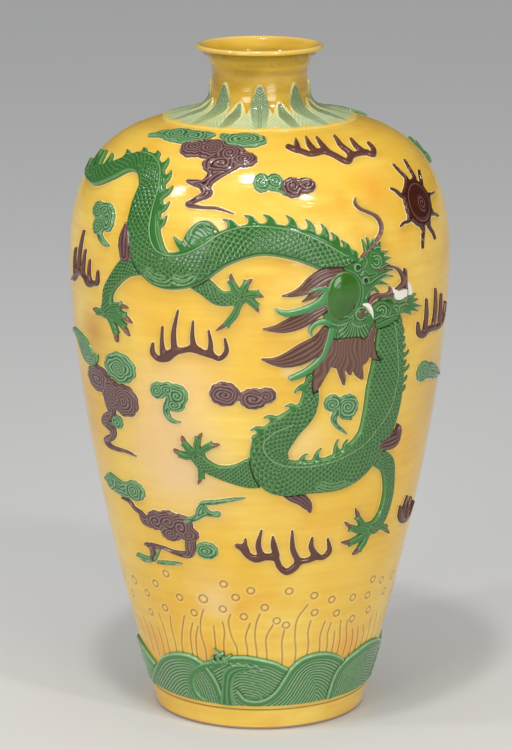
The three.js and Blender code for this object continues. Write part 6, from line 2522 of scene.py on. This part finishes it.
@dataclass
class Vessel:
    """The four thrown sections, turned smooth and glazed over their luted joints."""

    wall: WallLine
    clay: float = 7.0
    neck_clay: float = 5.5
    floor: float = 10.0
    recess: float = 7.0
    foot_ring: float = 8.0
    floor_edge: float = 30.0
    lip_width: float = 3.2
    base_seam: float = 170.0
    belly_seam: float = 300.0
    neck_seam: float = 446.4
    joint_step: float = 4.0
    columns: int = 224
    finer: int = 4
    spacing: float = 4.0
    guard: float = 0.05
    # Tape distances where the engraving starts, where its rings get closer, and where it ends
    engraved: tuple[float, float, float] = (44.0, 84.0, 130.0)
    ring_gaps: tuple[float, float] = (1.6, 0.7)

    def turned(self, rings: list[Ring], closed: bool, name: str, material: Material,
               node: str) -> Object:
        """Joins rings into one skin, flat where its line turns sharply at both ends of a strip.

        Args:
            rings: the rings in order along the section's line.
            closed: whether the last ring joins the first; if not, both end in flat discs.
            name: the piece's name.
            material: its material.
            node: the node that it replaces.

        Returns:
            The finished piece.
        """
        starts = np.concatenate([[0], np.cumsum([ring.count for ring in rings])])
        pairs = [(i, (i + 1) % len(rings)) for i in range(len(rings) if closed else len(rings) - 1)]
        line = np.array([(np.mean(ring.radius), np.mean(ring.height)) for ring in rings])
        steps = np.array([line[high] - line[low] for low, high in pairs])
        heading = np.arctan2(steps[:, 1], steps[:, 0])
        bend = np.abs(np.angle(np.exp(1j * (heading - np.roll(heading, 1))))) > math.radians(55)
        faces = [self.between(starts[low], rings[low].count, starts[high], rings[high].count)
                 for low, high in pairs]
        flat = [np.full(len(strip), bend[i] and bend[(i + 1) % len(pairs)]) for i, strip in enumerate(faces)]
        if not closed:
            faces += [np.arange(rings[0].count)[None, ::-1], starts[-2] + np.arange(rings[-1].count)[None]]
            flat.append(np.array([True, True]))
        numbers = {key: np.concatenate([ring.spread(getattr(ring, key)) for ring in rings])
                   for key in ("pool", "thin", "bare")}
        skin = Skin(np.vstack([ring.points() for ring in rings]), *strung(faces), numbers,
                    np.concatenate(flat))
        piece = skin.build(name, material, "yellow_glaze")
        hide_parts(node)
        LOG.info("%s: %d points", name, starts[-1])
        return piece

    @staticmethod
    def between(low: int, low_count: int, high: int, high_count: int) -> Array:
        """Polygons between two rings, one of which may have several columns for each of the other's.

        Args:
            low: the first ring's first point.
            low_count: its count of points.
            high: the second ring's first point.
            high_count: its count of points.

        Returns:
            The corners of one polygon in each row.
        """
        few, many = min(low_count, high_count), max(low_count, high_count)
        ratio = many // few
        i = np.arange(few)
        after = (i + 1) % few
        if low_count < high_count:
            upper = [high + (i * ratio + k) % many for k in range(ratio, -1, -1)]
            return np.column_stack([low + i, low + after, *upper])
        lower = [low + (i * ratio + k) % many for k in range(ratio + 1)]
        return np.column_stack([*lower, high + after, high + i])

    def on_wall(self, tape: float, off: float = 0.0, **glaze: float) -> Ring:
        """A ring at a tape distance and a height off the skin."""
        radius, height = self.wall.at(tape, off)
        return Ring(float(radius), float(height), self.columns, **glaze)

    def run(self, start: float, end: float, off: float, spacing: float) -> list[Ring]:
        """Rings along the wall from one tape distance to another, with a guard ring beside each end.

        Args:
            start: tape distance of the first ring.
            end: tape distance of the last.
            off: their height off the skin.
            spacing: tape between rings.

        Returns:
            The rings in order.
        """
        count = max(2, int(abs(end - start) / spacing) + 1)
        guard = math.copysign(self.guard, end - start)
        tapes = [start, *np.linspace(start + guard, end - guard, count), end]
        return [self.on_wall(float(tape), off) for tape in tapes]

    def engraved_rings(self) -> list[Ring]:
        """Rings of the engraved zone, with several times the columns, pushed in by the engraving.

        Returns:
            The rings in order.
        """
        low, middle, high = self.engraved
        tapes = np.concatenate([np.arange(low, middle, self.ring_gaps[0]),
                                np.arange(middle, high, self.ring_gaps[1])])
        count = self.columns * self.finer
        turn = np.arange(count) * 360.0 / count - 180.0
        cut = Engraving(self.wall).carve(np.tile(turn, len(tapes)), np.repeat(tapes, count))
        radius, height = self.wall.at(np.repeat(tapes, count), -cut.drop)
        fields = [a.reshape(len(tapes), count) for a in (radius, height, cut.pool, cut.thin)]
        return [Ring(r, z, count, pool, thin) for r, z, pool, thin in zip(*fields)]

    def joint(self, seam: float) -> list[Ring]:
        """The hidden stepped face of a luted joint, from the outside in."""
        half = self.clay / 2
        return [self.on_wall(seam, -half), self.on_wall(seam + self.joint_step, -half),
                self.on_wall(seam + self.joint_step, -self.clay)]

    def base(self, material: Material) -> Object:
        """Foot ring, recessed underside, plain band with its scratched line, and the lower wall.

        Args:
            material: the glaze that dresses it.

        Returns:
            The base's piece.
        """
        seam = self.wall.tape_at(self.base_seam)
        inside = self.wall.tape_at(self.recess + self.floor)
        ring = self.wall.foot_radius - self.foot_ring
        level = self.recess + self.floor
        corner = float(self.wall.at(inside, -self.clay)[0])
        # The foot's line as radius and height, from the recess over its inner edge to the outer one
        foot = ((self.floor_edge, self.recess), (ring - 5, self.recess), (ring - 3.6, self.recess - 0.7),
                (ring - 1.2, 2.0), (ring - 0.6, 0.5), (ring, 0.0), (self.wall.foot_radius - 1.4, 0.0),
                (self.wall.foot_radius - 0.4, 0.3))
        rings = [Ring(radius, height, self.columns, bare=1.0) for radius, height in foot]
        rings += [self.on_wall(tape, bare=float(tape < 2.0))
                  for tape in (1.2, 1.9, 2.6, 4.0, 7.0, 10.0, 13.0, 15.4)]
        # The scratched line round the plain band
        rings += [self.on_wall(tape, off, pool=dark) for tape, off, dark in (
            (16.0, -0.1, 0.2), (16.5, -0.5, 0.9), (16.9, -0.5, 0.9), (17.4, -0.1, 0.2), (18.0, 0.0, 0.0))]
        rings += self.run(19.0, self.engraved[0] - 1.0, 0.0, self.spacing)
        rings += self.engraved_rings()
        rings += self.run(self.engraved[2] + 0.8, seam, 0.0, self.spacing) + self.joint(seam)
        rings += self.run(seam - self.joint_step, inside + 8, -self.clay, 12.0)
        rings += [Ring(radius, height, self.columns) for radius, height in (
            (corner - 3, level + 1.2), (corner - 9, level), (self.floor_edge, level))]
        return self.turned(rings, False, "base_glazed", material, "base_section")

    def belt(self, low: float, high: float, name: str, material: Material, node: str) -> Object:
        """A thrown ring of wall between two seams.

        Args:
            low: the lower seam's height.
            high: the upper seam's height.
            name: the piece's name.
            material: the glaze that dresses it.
            node: the node that it replaces.

        Returns:
            The belt's piece.
        """
        start, end = self.wall.tape_at(low), self.wall.tape_at(high)
        rings = self.run(start, end, 0.0, self.spacing) + self.joint(end)
        rings += self.run(end - self.joint_step, start + 12, -self.clay, 8.0) + self.joint(start)[::-1]
        return self.turned(rings, True, name, material, node)

    def neck(self, material: Material) -> Object:
        """The flared root, the waist and the rolled lip, glazed inside too.

        Args:
            material: the glaze that dresses it.

        Returns:
            The neck's piece.
        """
        start, end = self.wall.tape_at(self.neck_seam), self.wall.length
        waist = self.wall.tape_at(self.wall.waist_height)
        rings = self.run(start, end - 1.0, 0.0, 1.6)
        half = self.wall.lip_bead / 2
        middle = self.wall.height - half
        outer, inner = self.wall.lip_radius, self.wall.lip_radius - self.lip_width
        # The rolled lip: darker under the bead, partly glaze pooling and partly painted shade, and paler over
        # its crest and inner edge, partly glaze thinning and partly a painted highlight
        rings += [Ring(outer - half + half * math.cos(a), middle + half * math.sin(a), self.columns,
                       pool=0.55 * (a < -0.9), thin=0.5 * (a > 0.2))
                  for a in np.radians(np.linspace(-115.0, 90.0, 14))]
        rings += [Ring(inner - across, self.wall.height - down, self.columns, thin=thin)
                  for across, down, thin in ((0.5, 0.25, 0.6), (1.6, 1.4, 0.2), (3.0, 3.4, 0.0))]
        rings += self.run(end - 4.0, waist, -self.neck_clay, 2.5)
        rings += self.run(waist - 8, start + 12, -self.clay, 4.0) + self.joint(start)[::-1]
        return self.turned(rings, True, "neck_glazed", material, "neck_section")

    def make(self) -> list[Object]:
        """All four sections in one yellow glaze.

        Returns:
            The four pieces, from the base up.
        """
        material = YellowGlaze().dress("yellow_lead_glaze", self.wall)
        return [
            self.base(material),
            self.belt(self.base_seam, self.belly_seam, "belly_glazed", material, "belly_section"),
            self.belt(self.belly_seam, self.neck_seam, "shoulder_glazed", material, "shoulder_section"),
            self.neck(material),
        ]


# The studio


@dataclass
class Studio:
    """A wide pale floor, soft lamps and the photograph's camera."""

    camera_place: tuple[float, float, float] = (-0.0027, -2.3755, 0.8052)
    pitch: float = 0.22901
    lens: float = 156.75
    pale: Colour = (0.68, 0.67, 0.65)
    floor_half: float = 25.0
    target: tuple[float, float, float] = (0.0, 0.0, 0.30)
    sensor: float = 36.0
    far: float = 80.0
    air_colour: Colour = (0.95, 0.97, 1.0)
    mirror_colour: Colour = (0.10, 0.10, 0.11)
    air_strength: float = 0.55
    # For each lamp its place, its two sides in metres and its power in watts
    lamps: dict = field(default_factory=lambda: {
        "key": ((-0.20, -0.85, 2.60), (0.16, 0.30), 15.0),
        "second": ((0.95, -1.35, 2.00), (0.16, 0.22), 8.0),
        "shoulder_left": ((-1.35, -0.65, 1.75), (0.14, 0.30), 5.0),
        "front_left": ((-1.5, -2.4, 1.2), (1.0, 1.0), 22.0),
        "front_right": ((1.3, -2.5, 0.9), (1.0, 1.0), 18.0),
    })

    def floor(self) -> None:
        """A level sheet, so wide that no view from above the table sees past it."""
        half = self.floor_half
        mesh = bpy.data.meshes.new("studio_floor")
        mesh.from_pydata([(-half, -half, 0.0), (half, -half, 0.0), (half, half, 0.0), (-half, half, 0.0)],
                         [], [(0, 1, 2, 3)])
        graph = Graph("pale_paper")
        cloud = graph.noise(graph.place(), 1.5).clamped(0.3, 0.7)
        colour = graph.mix(cloud * 0.15, self.pale, tuple(0.94 * c for c in self.pale))
        mesh.materials.append(graph.finish(colour, 0.85, None))
        sheet = bpy.data.objects.new("studio_floor", mesh)
        bpy.context.scene.collection.objects.link(sheet)

    def lamp(self, name: str, place: tuple[float, float, float], size: tuple[float, float],
             power: float) -> None:
        """A soft rectangular lamp that looks at the vase's shoulder.

        Args:
            name: the lamp's name.
            place: where it stands, in metres.
            size: its two sides, in metres.
            power: its power, in watts.
        """
        light = bpy.data.lights.new(name, "AREA")
        light.shape = "RECTANGLE"
        light.size, light.size_y = size
        light.energy = power
        made = bpy.data.objects.new(name, light)
        made.location = place
        x, y, z = np.array(self.target) - np.array(place)
        made.rotation_euler = (math.pi / 2 + math.atan2(z, math.hypot(x, y)), 0.0, math.atan2(-x, y))
        bpy.context.scene.collection.objects.link(made)

    def air(self) -> None:
        """A pale surrounding light, dimmer for mirror rays, so that the glazes keep their colour."""
        world = bpy.data.worlds.new("studio_air")
        world.use_nodes = True
        tree = world.node_tree
        back = tree.nodes["Background"]
        path = tree.nodes.new("ShaderNodeLightPath")
        mix = tree.nodes.new("ShaderNodeMix")
        mix.data_type = "RGBA"
        mix.inputs[6].default_value = (*self.air_colour, 1.0)
        mix.inputs[7].default_value = (*self.mirror_colour, 1.0)
        tree.links.new(path.outputs["Is Glossy Ray"], mix.inputs[0])
        tree.links.new(mix.outputs[2], back.inputs["Color"])
        back.inputs["Strength"].default_value = self.air_strength
        bpy.context.scene.world = world

    def camera(self) -> None:
        """The photograph's camera."""
        lens = bpy.data.cameras.new("camera")
        lens.lens = self.lens
        lens.sensor_width = self.sensor
        lens.clip_end = self.far
        made = bpy.data.objects.new("camera", lens)
        made.location = self.camera_place
        made.rotation_euler = (math.pi / 2 - self.pitch, 0.0, 0.0)
        bpy.context.scene.collection.objects.link(made)
        bpy.context.scene.camera = made

    def build(self) -> None:
        """Floor, lamps, surrounding light and camera."""
        self.floor()
        for name, (place, size, power) in self.lamps.items():
            self.lamp(name, place, size, power)
        self.air()
        self.camera()
        bpy.context.scene.view_settings.view_transform = "Standard"


def main() -> None:
    """Builds the studio, the vessel and its ornament, and reports each piece."""
    logging.basicConfig(level=logging.INFO, format="%(message)s")
    wall = WallLine()
    Studio().build()
    for piece in Vessel(wall).make():
        LOG.info("made %s", piece.name)
    materials: dict[Glaze, Material] = {}

    def dressed(glaze: Glaze, name: str) -> Material:
        """One material for each glaze, named after its first piece.

        Args:
            glaze: the glaze.
            name: the piece that is dressed in it.

        Returns:
            The glaze's material.
        """
        if glaze not in materials:
            materials[glaze] = relief_material(f"{glaze.slot}_{name}", glaze)
        return materials[glaze]

    waves = WaveBand("wave_band", wall, bottom=20.6, rise=2.5, columns=800, rows=62, glaze=WAVE_GREEN)
    leaves = LeafCollar("leaf_collar", wall, bottom=485.0, rise=1.9, columns=720, rows=56, glaze=PALE_GREEN,
                        bevel=0.5)
    for girdle in (waves, leaves):
        LOG.info("made %s", girdle.make(dressed(girdle.glaze, girdle.name)).name)
    motifs = [*Dragon(wall).motifs(), Sun(wall).motif(), *Flames(wall).motifs(), *Clouds(wall).motifs(),
              Breaker(wall, waves.bottom).motif()]
    for motif in motifs:
        for piece in motif.make(dressed(motif.glaze, motif.name)):
            LOG.info("made %s", piece.name)


if __name__ == "__main__":
    main()
